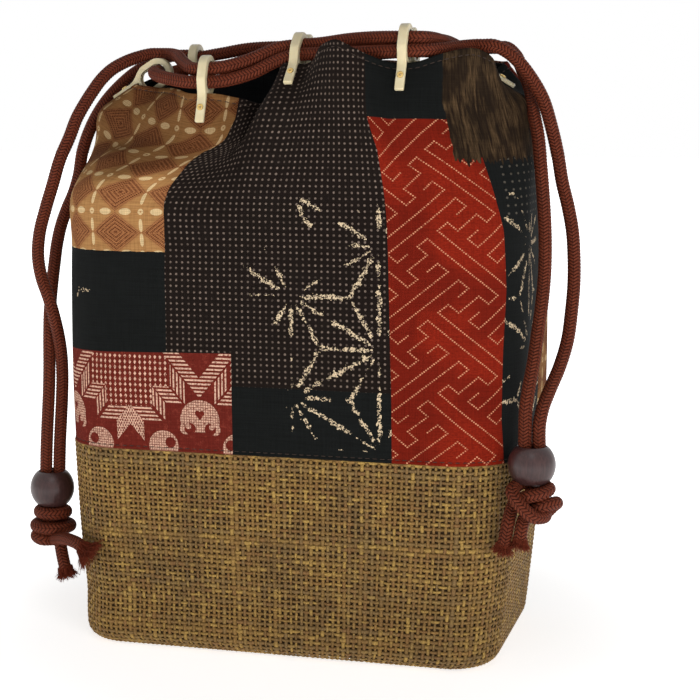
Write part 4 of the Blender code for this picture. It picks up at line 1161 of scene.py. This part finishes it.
def shell(name, points, normals, across, up, finish):
    """A closed sheet with rounded upper and lower edges, from its outer surface. across and up are
    the cloth's own places, which both of its faces carry."""
    rows, columns = points.shape[:2]
    inner = points - normals * CLOTH
    edges = []
    for row, near, turns in ((-1, -2, (45, 90, 135)), (0, 1, (135, 90, 45))):
        away = unit(points[row] - points[near])
        middle = (points[row] + inner[row]) / 2
        for angle in np.radians(turns):
            turned = normals[row] * math.cos(angle) + away * math.sin(angle)
            edges.append(middle + turned * CLOTH / 2)
    ring = np.concatenate([points, edges[:3], inner[::-1], edges[3:]])
    total = len(ring)
    v = np.concatenate([up, [up[-1]] * 3, up[::-1], [up[0]] * 3])
    uv = np.stack([np.broadcast_to(across, v.shape).ravel(), v.ravel()], 1)
    r, c = cells(total + 1, columns)
    quads = (r % total) * columns + c
    sides, ends = [], []
    for column in (0, columns - 1):
        runs = [[i, i + 1, total - 5 - i, total - 4 - i] for i in range(rows - 1)]
        runs.append([rows - 1, rows, rows + 1, rows + 2, rows + 3])
        runs.append([total - 4, total - 3, total - 2, total - 1, 0])
        for run in runs:
            face = [k * columns + column for k in (reversed(run) if column else run)]
            (sides if len(face) == 4 else ends).append(face)
    corners = np.concatenate([np.ravel(face) for face in (quads, sides, ends)])
    return new_piece(name, ring, [quads, sides, ends], finish, uv=("cloth", uv[corners]))


def hem_puff(up, height):
    """How far the folded hem and the foot's seam stand out, and how far stitches pull them in."""
    below, puff = height - up, 0.0
    for where, middle, reach, rise in (
        (below, 0.0012, 0.0011, 0.00012), (below, 0.0025, 0.0004, -0.00030),
        (up, 0.0004, 0.0006, 0.00025), (up, 0.0012, 0.0004, -0.00028),
    ):
        puff = puff + rise * np.exp(-(((where - middle) / reach) ** 2))
    return puff


# Folds and dents of the cloth, in metres round and up from the left seam and the band's edge
CLOTH_WAVES = (
    (0.058, 0.140, 0.030, 0.010, 29, -0.0052),
    (0.090, 0.119, 0.024, 0.010, 29, 0.0024),
    (0.150, 0.100, 0.012, 0.030, 30, -0.0008),
    (0.128, 0.075, 0.020, 0.012, -20, 0.0006),
    (0.185, 0.120, 0.008, 0.030, -12, -0.0008),
    (0.200, 0.060, 0.010, 0.035, 8, 0.0007),
    (0.240, 0.112, 0.020, 0.012, -25, -0.0009),
    (0.262, 0.075, 0.010, 0.030, 10, 0.0009),
    (0.228, 0.030, 0.025, 0.012, 12, -0.0006),
    (0.165, 0.030, 0.018, 0.010, -15, -0.0006),
    (0.100, 0.030, 0.018, 0.012, 20, 0.0006),
    (0.340, 0.100, 0.011, 0.030, 14, -0.0010),
    (0.385, 0.060, 0.022, 0.014, -18, 0.0008),
    (0.415, 0.115, 0.009, 0.028, -10, -0.0010),
    (0.452, 0.045, 0.020, 0.012, 15, -0.0007),
    (0.480, 0.105, 0.012, 0.030, 20, 0.0009),
    (0.520, 0.070, 0.012, 0.030, -14, -0.0009),
    (0.028, 0.090, 0.010, 0.032, 8, -0.0009),
)


STITCH_SPACING = 0.0031
STITCH_LENGTH = 0.0024
STITCH_RADIUS = 0.00017
STITCH_RISE = np.array([-0.00025, 0.00010, 0.00016, 0.00010, -0.00025])


def stitch_line(name, points, normals, finish):
    """A row of short threads lying on a line of points: each dips in at both its ends."""
    along = lengths_along(points)
    count = int(along[-1] / STITCH_SPACING)
    starts = along[-1] * (np.arange(count)[:, None] + 0.12) / count
    run = starts + np.linspace(0, STITCH_LENGTH, len(STITCH_RISE))
    out = unit(at_lengths(run, along, normals))
    line = at_lengths(run, along, points) + out * STITCH_RISE[:, None]
    side = unit(np.cross(out, np.gradient(line, axis=1)))
    angle = (math.pi * np.arange(6) / 3)[:, None]
    ring = out[:, :, None] * np.sin(angle) + side[:, :, None] * np.cos(angle)
    made, faces, _ = tubes(line[:, :, None] + ring * STITCH_RADIUS)
    return new_piece(name, made, [faces], finish)


def build_cloth(finish):
    """The two printed panels and the threads at hem and foot. Gives the surface they lie on."""
    points, normals, shares, seams = cloth_surface()
    rows, columns = points.shape[:2]
    round_place = ((shares - shares[seams[1]]) % 1) * CLOTH_ROUND
    steps = np.linalg.norm(np.diff(points, axis=0), axis=2)
    up = np.concatenate([np.zeros((1, columns)), np.cumsum(steps, axis=0)])
    across, height = np.broadcast_to(round_place, (rows, columns)), up[-1]
    calm = np.clip(up / 0.015, 0, 1) * np.clip((height - up) / 0.03, 0, 1)
    shape = waves(across, up, CLOTH_WAVES) * calm + hem_puff(up, height)
    points = points + normals * shape[..., None]
    normals = surface_normals(points)
    order = (seams[1] + np.arange(columns)) % columns
    split = int((seams[0] - seams[1]) % columns)
    for name, first, last in (("front_panel", 0, split), ("back_panel", split, columns)):
        run = order[np.arange(first, last + 1) % columns]
        face, out, places = points[:, run].copy(), normals[:, run], round_place[run].copy()
        if last == columns:
            places[-1] = CLOTH_ROUND
        for edge, near in ((0, 1), (-1, -2)):
            face[:, edge] += unit(face[:, near] - face[:, edge]) * GAP / 2 - out[:, edge] * 0.0005
            face[:, near] -= out[:, near] * 0.00012
        panel = shell(f"{name}_cloth", face, out, places, up[:, run], finish)
        carried(panel, "sack", "printed_cotton", name)
        float(places[-1] - places[0])
    for name, row in (("hem_stitches", -5), ("foot_stitches", 3)):
        line, out = (np.concatenate([grid[row], grid[row][:1]]) for grid in (points, normals))
        carried(stitch_line(name, line, out, THREAD_FINISH), "sack", "printed_cotton")
    return points, normals, round_place, up


SURFACE = build_cloth(printed_cotton_finish())


# The woven band and base

YARN_PITCH = 0.00232
YARN_WIDTH = 0.00160
YARN_SPREAD = 0.15
YARN_DRIFT = 0.06
YARN_THICKNESS = 0.00058
YARN_RISE = 0.00030
YARN_DEPTH = 0.00062
BACKING_DEPTH = 0.00128
BACKING_THICKNESS = 0.0003
BACKING_ROWS = 40
BACKING_COLUMNS = 200
WARPS = 242
WEFTS = 42
BASE_LEVEL = 0.00064
BASE_INSET = 0.0004


def meridian():
    """The band's section sizes at close steps of length up its side, from the rounded foot."""
    sizes = np.array((HALF_WIDTH, HALF_DEPTH, HALF_DEPTH))
    rows = []
    for angle in np.radians((0, 15, 30, 45, 60, 75, 90)):
        inset = BOTTOM_ROUND * (1 - math.sin(angle))
        rows.append((BOTTOM_ROUND * (1 - math.cos(angle)), *(sizes * FOOT_SECTION - inset)))
    for height, *shares in BAND_SECTIONS:
        rows.append((height * BAND_HEIGHT, *(sizes * shares)))
    rows = curve_through(rows, 12)
    return lengths_along(rows[:, :2]), rows


MERIDIAN_STEP = 0.0005
MERIDIAN = meridian()
BAND_LENGTH = MERIDIAN[0][-1]


def band_places(share, along):
    """Points on the band's face, with their outward and upward directions."""
    length, rows = MERIDIAN
    height, *sizes = (np.interp(along, length, rows[:, k]) for k in range(4))
    after, before = (
        [np.interp(along + step, length, rows[:, k]) for k in range(2)]
        for step in (MERIDIAN_STEP, -MERIDIAN_STEP)
    )
    flat, way, _ = section(*sizes, share)
    height, rise, spread = (
        np.broadcast_to(values, flat.shape[:-1])[..., None]
        for values in (height, after[0] - before[0], after[1] - before[1])
    )
    points = slimmed(np.concatenate([flat, height], -1))
    out = np.concatenate([way * rise, -spread], -1)
    up = np.concatenate([way * spread, rise], -1)
    return points, unit(out), unit(up)


def yarn_mesh(middles, outs, sides, widths, closed=False):
    """Flat yarns as four-sided tubes along rows of points: corner points, faces and map places."""
    wide, thick = sides * widths[..., None] / 2, outs * YARN_THICKNESS / 2
    rings = np.stack([middles + wide, middles + thick, middles - wide, middles - thick], 2)
    points, faces, (yarn, step, corner) = tubes(rings, closed, capped=not closed)
    places = np.stack([step, yarn + np.abs(corner - 1.0) * 0.2 + 0.2], -1)
    return points, faces, places


def uneven(rng, rows, steps, spread):
    """Rows of small random offsets that drift slowly along each row."""
    raw = rng.normal(size=(rows, steps + 5))
    kernel = np.ones(6) / 6**0.5
    return spread * np.apply_along_axis(lambda row: np.convolve(row, kernel, "valid"), 1, raw)


def yarn_widths(rng, yarns, steps, share, fade=1.0):
    """Widths that differ from yarn to yarn and drift along each one."""
    each = rng.normal(size=(yarns, 1)).clip(-1.6, 1.6)
    return YARN_WIDTH * (share + YARN_SPREAD * each + uneven(rng, yarns, steps, YARN_DRIFT) * fade)


def over_under(step, row, first=1.0):
    """Where a yarn lies at each half step: 1 over, -1 under and 0 between its crossings."""
    return np.where(step % 2 == 0, 0.0, np.where((step // 2 + row) % 2 == 0, first, -first))


def woven(share, along, rise, widths, upright):
    """Yarns of the band, at shares of the way round and places up its face."""
    face, out, up = band_places(share, along)
    middles = face - out * (YARN_DEPTH - YARN_RISE * rise)[..., None]
    sides = unit(np.cross(up, out)) if upright else up
    return yarn_mesh(middles, out, sides, widths, closed=not upright)


def joined(parts):
    """Several yarn meshes as one."""
    points, faces, places, shift = [], [], [], 0
    for number, (part_points, part_faces, part_places) in enumerate(parts):
        points.append(part_points)
        faces.append(part_faces + shift)
        places.append(part_places + np.array((0, 1000 * number)))
        shift += len(part_points)
    return np.concatenate(points), [np.concatenate(faces)], np.concatenate(places)


def build_band():
    rng = np.random.default_rng(11)
    top = BAND_LENGTH - 0.0004
    row, step = np.arange(WARPS)[:, None], np.arange(2 * WEFTS)[None]
    along = (step + 0.5) * top / (2 * WEFTS) + 0 * row
    share = (row + 0.5) / WARPS + uneven(rng, WARPS, 2 * WEFTS, 0.00013)
    share = share + rng.normal(size=(WARPS, 1)) * 0.00022
    widths = yarn_widths(rng, WARPS, 2 * WEFTS, 0.93)
    warps = woven(share, along, over_under(step, row), widths, upright=True)

    row, step = np.arange(WEFTS)[:, None], np.arange(2 * WARPS)[None]
    share = step / (2 * WARPS) + 0 * row
    along = (row + 0.75) * top / WEFTS + rng.normal(size=(WEFTS, 1)) * 0.00010
    fade = np.minimum(step, step[:, ::-1]).clip(0, 12) / 12
    along = along + uneven(rng, WEFTS, 2 * WARPS, 0.00008) * fade
    widths = yarn_widths(rng, WEFTS, 2 * WARPS, 1.0, fade)
    wefts = woven(share, along, over_under(step, row, -1.0), widths, upright=False)
    points, faces, places = joined([warps, wefts])
    band = new_piece("band_yarns", points, faces, YARN_FINISH, uv=("yarn", places))
    carried(band, "sack", "woven_mat", "woven_band")

    share = np.arange(BACKING_COLUMNS)[None] / BACKING_COLUMNS
    along = np.linspace(0.0002, BAND_LENGTH - 0.0002, BACKING_ROWS)[:, None]
    face, out, _ = band_places(share, along)
    inner = face - out * (BACKING_DEPTH + BACKING_THICKNESS)
    rings = np.concatenate([face - out * BACKING_DEPTH, inner[::-1]])
    quads = wrapped(*rings.shape[:2], closed=True)
    backing = new_piece("band_backing", rings, [quads], BACKING_FINISH)
    carried(backing, "sack", "woven_mat")


def inside_reach(half_width, half_depth, corner, across):
    """Half the length of a line across a rounded rectangle, at a distance from its middle."""
    if abs(across) <= half_depth - corner:
        return half_width
    over = abs(across) - (half_depth - corner)
    return half_width - corner + math.sqrt(max(corner**2 - over**2, 0.0))


def build_base():
    rng = np.random.default_rng(5)
    width, depth, corner = (
        size * half - BOTTOM_ROUND - BASE_INSET
        for size, half in zip(FOOT_SECTION, (HALF_WIDTH, HALF_DEPTH, HALF_DEPTH))
    )
    parts = []
    for long_side, short_side, turned in ((width, depth, False), (depth, width, True)):
        count = int(2 * (short_side - 2 * BASE_INSET) / YARN_PITCH)
        for row in range(count):
            across = (row - (count - 1) / 2) * YARN_PITCH
            reach = inside_reach(long_side, short_side, corner, across)
            number = int(2 * reach / YARN_PITCH) * 2
            x = (np.arange(number + 1) - number / 2) * YARN_PITCH / 2
            step = np.round(x / YARN_PITCH * 2).astype(int)
            z = BASE_LEVEL + YARN_RISE * over_under(step, row, -1.0 if turned else 1.0)
            y = across + 0 * x
            line = np.stack([y, x, z] if turned else [x, y, z], 1)[None]
            out = np.broadcast_to((0.0, 0.0, -1.0), line.shape)
            side = np.broadcast_to((1.0, 0.0, 0.0) if turned else (0.0, 1.0, 0.0), line.shape)
            widths = np.full(line.shape[:2], YARN_WIDTH * (1 + 0.12 * rng.normal()))
            parts.append(yarn_mesh(line, out, side, widths))
    points, faces, places = joined(parts)
    base = new_piece("base_yarns", points, faces, YARN_FINISH, uv=("yarn", places))
    carried(base, "sack", "woven_mat", "woven_base")


build_band()
build_base()


# The lining

# How deep the lining lies under the hem and inside the band, and the height of its creases
LINING_HEM_DEPTH, LINING_BAND_DEPTH, LINING_CREASE = 0.0019, 0.0021, 0.0009


def build_lining(points, normals, round_place, up):
    """The thin black bag inside the cloth and the band, closed at its foot."""
    step = 2
    face, out, length = (grid[::step, ::step] for grid in (points, normals, up))
    places = round_place[::step]
    near_hem = np.clip((up[-1, ::step] - length) / 0.020, 0, 1)
    x, y = places * 1000, length * 1000
    crease = np.sin(x / 9.0 + np.sin(y / 21.0) * 1.6) * 0.5 + np.sin(x / 4.1 + y / 17.0) * 0.25
    depth = (CLOTH + GAP) * (1 - near_hem) + LINING_HEM_DEPTH * near_hem
    depth = depth + LINING_CREASE * (crease + 0.75).clip(0) * near_hem

    shares = (places / CLOTH_ROUND + HEM["left_seam"][0])[None]
    along = np.linspace(0.004, BAND_LENGTH - 0.0015, 30)[:, None]
    band_face, band_out, _ = band_places(shares, along)
    low = band_face - band_out * LINING_BAND_DEPTH
    outer = np.concatenate([low[low[:, 0, 2] > 0.0046], face - out * depth[..., None]])
    inner = outer - surface_normals(outer) * LINING
    rings = np.concatenate([outer, inner[::-1]])
    middles = [(0, 0, rings[row, :, 2].mean()) for row in (0, -1)]
    heights = lengths_along(rings[:, 0])
    uv = np.stack(np.broadcast_arrays(places, heights[:, None]), -1).reshape(-1, 2)
    uv = np.concatenate([uv, np.zeros((2, 2))])
    made, quads, fans = closed_tube(rings, middles)
    uv = uv[np.concatenate([quads.ravel(), fans.ravel()])]
    lining = new_piece("lining_cloth", made, [quads, fans], LINING_FINISH, uv=("cloth", uv))
    carried(lining, "sack", "black_lining", "lining")


build_lining(*SURFACE)


# The tabs and rivets

def arc(radius, height, first, last):
    """Points on an arc about a place on the tab's middle line, between two angles in degrees."""
    angles = np.radians(np.linspace(first, last, 33))
    return [(radius * math.cos(a), height + radius * math.sin(a)) for a in angles]


def tab_profile():
    """The tab's side view: its outline with the slot for the hem, the hole for the cords and the
    distance out to a leg's face."""
    slot = CLOTH + GAP + LINING + TAB_SLOT_CLEARANCE
    leg = slot / 2 + TAB_LEG
    slot_top = TAB_HEM_OFFSET + TAB_SLOT_CLEARANCE
    hole_radius = TAB_HOLE_WIDTH / 2
    ring = hole_radius + TAB_BAND
    low_centre = slot_top + TAB_WEB + hole_radius
    high_centre = slot_top + TAB_WEB + TAB_HOLE_HEIGHT - hole_radius
    shoulder = TAB_SHOULDER_SHARE * low_centre
    foot = [
        (leg - TAB_TOE * (1 - math.sin(a)), TAB_TOE * (1 - math.cos(a)) - TAB_LEG_END)
        for a in (0, 0.5, 1.05, 1.571)
    ]
    side = [
        (leg + (ring - leg) * eased(t), shoulder + (low_centre - shoulder) * t)
        for t in np.arange(13) / 12
    ]
    outer = [*foot, *side, *arc(ring, high_centre, 0, 180)]
    outer += [(-out, up) for out, up in [*reversed(side), *reversed(foot)]]
    for out, up in ((-1, -TAB_LEG_END), (-1, slot_top), (1, slot_top), (1, -TAB_LEG_END)):
        outer.append((out * slot / 2, up))
    hole = arc(hole_radius, high_centre, 0, 180) + arc(hole_radius, low_centre, 180, 360)
    return np.array(outer), np.array(hole), leg


def pulled_in(loop, amount):
    """A closed outline moved inwards by an amount, all corners staying corners."""
    before, after = np.roll(loop, 1, axis=0), np.roll(loop, -1, axis=0)
    first, second = unit(loop - before), unit(after - loop)
    left_a, left_b = (np.stack([-way[:, 1], way[:, 0]], 1) for way in (first, second))
    turn = (1 + np.einsum("ij,ij->i", left_a, left_b)).clip(0.35, 2)
    return loop + (left_a + left_b) / turn[:, None] * amount


TAB_EDGE = 0.00042
TAB_TOE = 0.0006


def tab_solid(finish):
    """One tab with rounded edges, standing along Z with its rivet hole at the origin."""
    outer, hole, leg = tab_profile()
    layers = []
    for angle in np.radians((0, 30, 60, 90)):
        out = TAB_WIDTH / 2 - TAB_EDGE * (1 - math.cos(angle))
        layers.append((TAB_EDGE * (1 - math.sin(angle)), out))
    levels = layers + [(inset, -out) for inset, out in reversed(layers)]
    points = []
    for inset, out in levels:
        for loop in (outer, hole):
            points += [(out, r, a) for r, a in (pulled_in(loop, inset) if inset else loop)]
    size = len(outer) + len(hole)
    loops = ((0, len(outer)), (len(outer), len(hole)))
    faces = []
    for start, count in loops:
        r, c = cells(len(levels), count, wrap=True)
        faces.append(r * size + start + c % count)
    ends = []
    for first, flip in ((0, False), ((len(levels) - 1) * size, True)):
        outlines = [
            [Vector(point) for point in points[first + start:first + start + count]]
            for start, count in loops
        ]
        for triangle in tessellate_polygon(outlines):
            ends.append([first + k for k in (reversed(triangle) if flip else triangle)])
    return blank("tab_blank", points, [*faces, ends], finish), leg


def blank(name, points, faces, finish):
    """A tidied mesh without an object, which several pieces share."""
    piece = new_piece(name, points, faces, finish)
    mesh = piece.data
    tidy_normals(mesh)
    bpy.data.objects.remove(piece)
    return mesh


def turned(profile, sides):
    """Points and faces of a ring turned about Z, from a closed profile of radii and heights."""
    radius, height = np.array(profile).T[..., None]
    angle = 2 * math.pi * np.arange(sides) / sides
    rings = np.stack([radius * np.cos(angle), radius * np.sin(angle), height + 0 * angle], -1)
    return rings, [wrapped(len(profile), sides, closed=True)]


def rivet_solid(leg, finish):
    """A hollow rivet through both legs, with rolled heads, about Z."""
    seat = leg + 0.00008
    middle, swell = (RIVET_HEAD + RIVET_BORE) / 2, (RIVET_HEAD - RIVET_BORE) / 2
    profile = [(RIVET_SHANK, seat)]
    for angle in np.radians(np.arange(-90, 181, 30)):
        rise = 0.0002 + RIVET_ROLL * math.sin(angle)
        profile.append((middle + swell * math.cos(angle), seat + rise))
    profile.append((RIVET_BORE, seat - 0.0002))
    profile += [(r, -h) for r, h in reversed(profile)]
    return blank("rivet_blank", *turned(profile, 24), finish)


def build_tabs():
    tab_mesh, leg = tab_solid(IVORY_FINISH)
    rivet_mesh = rivet_solid(leg, BRASS_FINISH)
    for name in TABS:
        spot, along, normal, upward = hem_frame(name)
        seat = spot - normal * (CLOTH + GAP + LINING) / 2 - upward * TAB_HEM_OFFSET
        turn = Matrix((along, -normal, upward)).transposed()
        placed = Matrix.LocRotScale(Vector(seat), turn.to_quaternion(), None)
        lying = placed @ Matrix.Rotation(math.pi / 2, 4, "X")
        for kind, node, mesh, where, slot in (
            ("moulded_tab", "tab", tab_mesh, placed, "ivory_plastic"),
            ("brass_rivet", "rivet", rivet_mesh, lying, "brass"),
        ):
            thing = bpy.data.objects.new(f"{name}_{kind}", mesh)
            thing.matrix_world = where
            bpy.context.scene.collection.objects.link(thing)
            carried(thing, f"{name}_tab", slot, f"{name}_{node}")


build_tabs()


# The beads and knots

def build_bead(side, front, back):
    """A turned wooden bead on both strands, with softly rounded rims at its bore."""
    radius, bore, half = BEAD_WIDTH / 2, BEAD_BORE / 2, BEAD_HEIGHT / 2
    lip = math.asin(bore / radius)
    profile = []
    for t in np.arange(41) / 40:
        angle = lip + (math.pi - 2 * lip) * t
        swell = abs(math.cos(angle) / math.cos(lip)) ** 1.08
        share = (math.sin(angle) - math.sin(lip)) / (1 - math.sin(lip))
        reach = bore + (radius - bore) * max(share, 0.0) ** 0.86
        profile.append((reach, math.copysign(swell, math.cos(angle)) * half))
    for out, up, way in ((0.4, 0.3, -1), (0.7, 1.0, -1), (0.7, 1.0, 1), (0.4, 0.3, 1)):
        profile.append((bore - BEAD_RIM * out, way * (half - BEAD_RIM * up)))
    bead = new_piece(f"{side}_wooden_bead", *turned(profile, 96), BEAD_FINISH)
    tidy_normals(bead.data)
    middle = (Vector(front[-1]) + Vector(back[-1])) / 2
    bead.location = middle + Vector((0, 0, BEAD_HEIGHT / 2 + GAP / 2))
    return carried(bead, f"{side}_bead", "dark_wood", f"{side}_bead")


def wrap(centre, start, turns, radius, drop):
    """A wrap round a centre line: from an angle in degrees, through some turns, sinking by drop."""
    line = []
    for t in np.linspace(0, 1, int(turns * 40) + 1):
        angle = math.radians(start) + 2 * math.pi * turns * t
        x, y, z = centre
        line.append((x + radius * math.cos(angle), y + radius * math.sin(angle), z - drop * t))
    return line


def fray(name, end, way, spread, length, count, seed):
    """Loose fibres fanning out of a cord's cut end, as thin tapering threads."""
    chance = random.Random(seed)
    way = Vector(way).normalized()
    side = way.orthogonal().normalized()
    other = way.cross(side)
    fibres = []
    for _ in range(count):
        a, r = chance.uniform(0, 2 * math.pi), chance.random() ** 0.5
        out = (side * math.cos(a) + other * math.sin(a)) * r
        start = Vector(end) + out * FRAY_RADIUS - way * FRAY_ROOT
        lean = out * spread * chance.uniform(0.6, 1.2)
        reach = length * chance.uniform(0.6, 1.1)
        sway = Vector([chance.uniform(-1, 1) for _ in range(3)]) * FIBRE_SWAY
        rings = []
        for t in (0, 0.25, 0.5, 0.75, 1):
            middle = start + way * reach * t + lean * t * t * reach * 2.2 + sway * math.sin(t * 5)
            thick = FIBRE_RADIUS * (1 - 0.55 * t)
            rings.append([middle + turn * thick for turn in (side, other, -side, -other)])
        fibres.append(rings)
    points, faces, _ = tubes(np.array(fibres), capped=True)
    return new_piece(name, points, [faces], FRAY_FINISH)


def build_knot(side, routes, frays):
    """A knot of braided cord below the bead, as one piece with its frayed ends."""
    parts = []
    for number, line in enumerate(routes):
        tube = braided_tube(
            f"{side}_knot_{number}", curve_through(line, 8), CORD_FINISH, turn=0.4 * number
        )
        parts.append(tube)
    for number, (end, *shape) in enumerate(frays):
        parts.append(fray(f"{side}_fray_{number}", *route(end), *shape, 20 + number))
        parts[-1].data.uv_layers.new(name="braid")
    knot = parts[0]
    chosen = dict(selected_objects=parts, selected_editable_objects=parts)
    with bpy.context.temp_override(active_object=knot, object=knot, **chosen):
        bpy.ops.object.join()
    knot.name = f"{side}_tied_knot"
    return carried(knot, f"{side}_handle", "braided_cord", f"{side}_knot")


LEFT_KNOT = (
    [
        *route((-1076, -302, 560), (-1084, -285, 538)),
        *wrap((-0.1104, -0.0310, 0.0526), 75, 1.0, 0.0058, 0.0008),
        *wrap((-0.1104, -0.0310, 0.0464), 95, 0.97, 0.0075, 0.0010),
        *route((-1080, -285, 420), (-1066, -325, 395), (-1050, -340, 330), (-1036, -345, 275)),
    ],
    route(
        (-1132, -318, 560), (-1125, -315, 480), (-1150, -325, 437), (-1160, -365, 420),
        (-1128, -385, 410), (-1085, -370, 408), (-1038, -405, 424), (-985, -455, 440),
        (-925, -512, 448), (-880, -547, 446), (-856, -561, 436),
    ),
)
RIGHT_KNOT = (
    route(
        (1092, -452, 812), (1102, -440, 796), (1136, -466, 790), (1112, -518, 777),
        (1064, -530, 766), (1020, -508, 744), (994, -476, 716), (985, -488, 684),
        (978, -512, 640), (971, -520, 595), (964, -522, 560),
    ),
    route(
        (1036, -468, 812), (1012, -492, 802), (998, -536, 786), (1036, -568, 738),
        (1092, -556, 690), (1122, -512, 682), (1126, -446, 688), (1150, -424, 712),
        (1166, -466, 732), (1112, -514, 722), (1072, -500, 694), (1042, -492, 664),
        (1032, -508, 620), (1029, -514, 580),
    ),
    route((1070, -436, 812), (1060, -440, 770), (1050, -452, 700)),
)
# Each frayed end: its place in tenths of a millimetre, its way, spread, length and fibres
LEFT_FRAYS = (
    ((-1036, -345, 275), (0.25, -0.06, -1.0), 0.26, 0.0056, 420),
    ((-856, -561, 436), (0.85, -0.08, -0.62), 0.40, 0.0074, 520),
)
RIGHT_FRAYS = (
    ((964, -522, 560), (-0.22, -0.02, -1.0), 0.26, 0.0050, 420),
    ((1029, -514, 580), (-0.10, -0.02, -1.0), 0.26, 0.0046, 420),
)

LEFT_BEAD = build_bead("left", LEFT_FRONT_RUN, LEFT_BACK_RUN)
RIGHT_BEAD = build_bead("right", RIGHT_FRONT_RUN, RIGHT_BACK_RUN)
LEFT_TIED = build_knot("left", LEFT_KNOT, LEFT_FRAYS)
RIGHT_TIED = build_knot("right", RIGHT_KNOT, RIGHT_FRAYS)

state_cord(LEFT_CORD, *LEFT_RUNS, with_pieces=[LEFT_BEAD, LEFT_TIED])
state_cord(RIGHT_CORD, *RIGHT_RUNS, with_pieces=[RIGHT_BEAD, RIGHT_TIED])

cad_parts["base_board"].material_slots[0].material = BOARD_FINISH


# The floor and the light

def build_studio():
    """A white floor that keeps the shadow near the sack, a soft lamp on each side and one above."""
    floor_finish, tree, shader = finish("white floor", Roughness=0.9, Specular_IOR_Level=0.1)
    join(tree, FLOOR_WHITE, shader.inputs["Base Color"])
    # The floor glows, though it is no lamp: white emission whose strength rises from about 0.72
    # near the sack to about 1.47 from 0.34 m out, with a faint speckle, so that it renders white
    # and keeps a soft shadow near the sack.
    join(tree, WHITE, shader.inputs["Emission Color"])
    where = {"Vector": object_place(tree)}
    x, y = place(tree, "SeparateXYZ", where), place(tree, "SeparateXYZ", where, output=1)
    far = distance(x, y).ease(0.10, 0.34)
    speckle = grain_at(tree, 60.0)
    join(tree, far * 0.75 + speckle * 0.01 + 0.72, shader.inputs["Emission Strength"])
    points = [(-6, -6, -0.0006), (6, -6, -0.0006), (6, 6, -0.0006), (-6, 6, -0.0006)]
    new_piece("floor", points, [[[0, 1, 2, 3]]], floor_finish, smooth=False)
    world = bpy.data.worlds.new("soft white room")
    world.use_nodes = True
    sky = world.node_tree.nodes["Background"]
    join(world.node_tree, WHITE, sky.inputs["Color"])
    rays = world.node_tree.nodes.new("ShaderNodeLightPath")
    camera_ray, glossy, transmission = (
        Wire(world.node_tree, rays.outputs[f"Is {kind} Ray"])
        for kind in ("Camera", "Glossy", "Transmission")
    )
    seen = (camera_ray + glossy + transmission).clamped()
    join(world.node_tree, seen * 0.88 + 0.12, sky.inputs["Strength"])
    bpy.context.scene.world = world
    for name, spot, size, power, mirrored in (
        ("left lamp", (-1.10, -0.70, 0.10), 0.7, 3.3, False),
        ("right lamp", (0.95, -1.25, 0.34), 0.8, 9.8, False),
        ("upper lamp", (0.25, -0.95, 1.15), 0.5, 1.3, True),
    ):
        light = bpy.data.lights.new(name, "AREA")
        light.size, light.energy = size, power
        lamp = bpy.data.objects.new(name, light)
        lamp.location = spot
        lamp.visible_glossy = mirrored
        aim = Vector((0, 0, 0.13)) - Vector(spot)
        lamp.rotation_euler = aim.to_track_quat("-Z", "Y").to_euler()
        bpy.context.scene.collection.objects.link(lamp)


build_studio()
bpy.context.scene.view_settings.view_transform = "Standard"
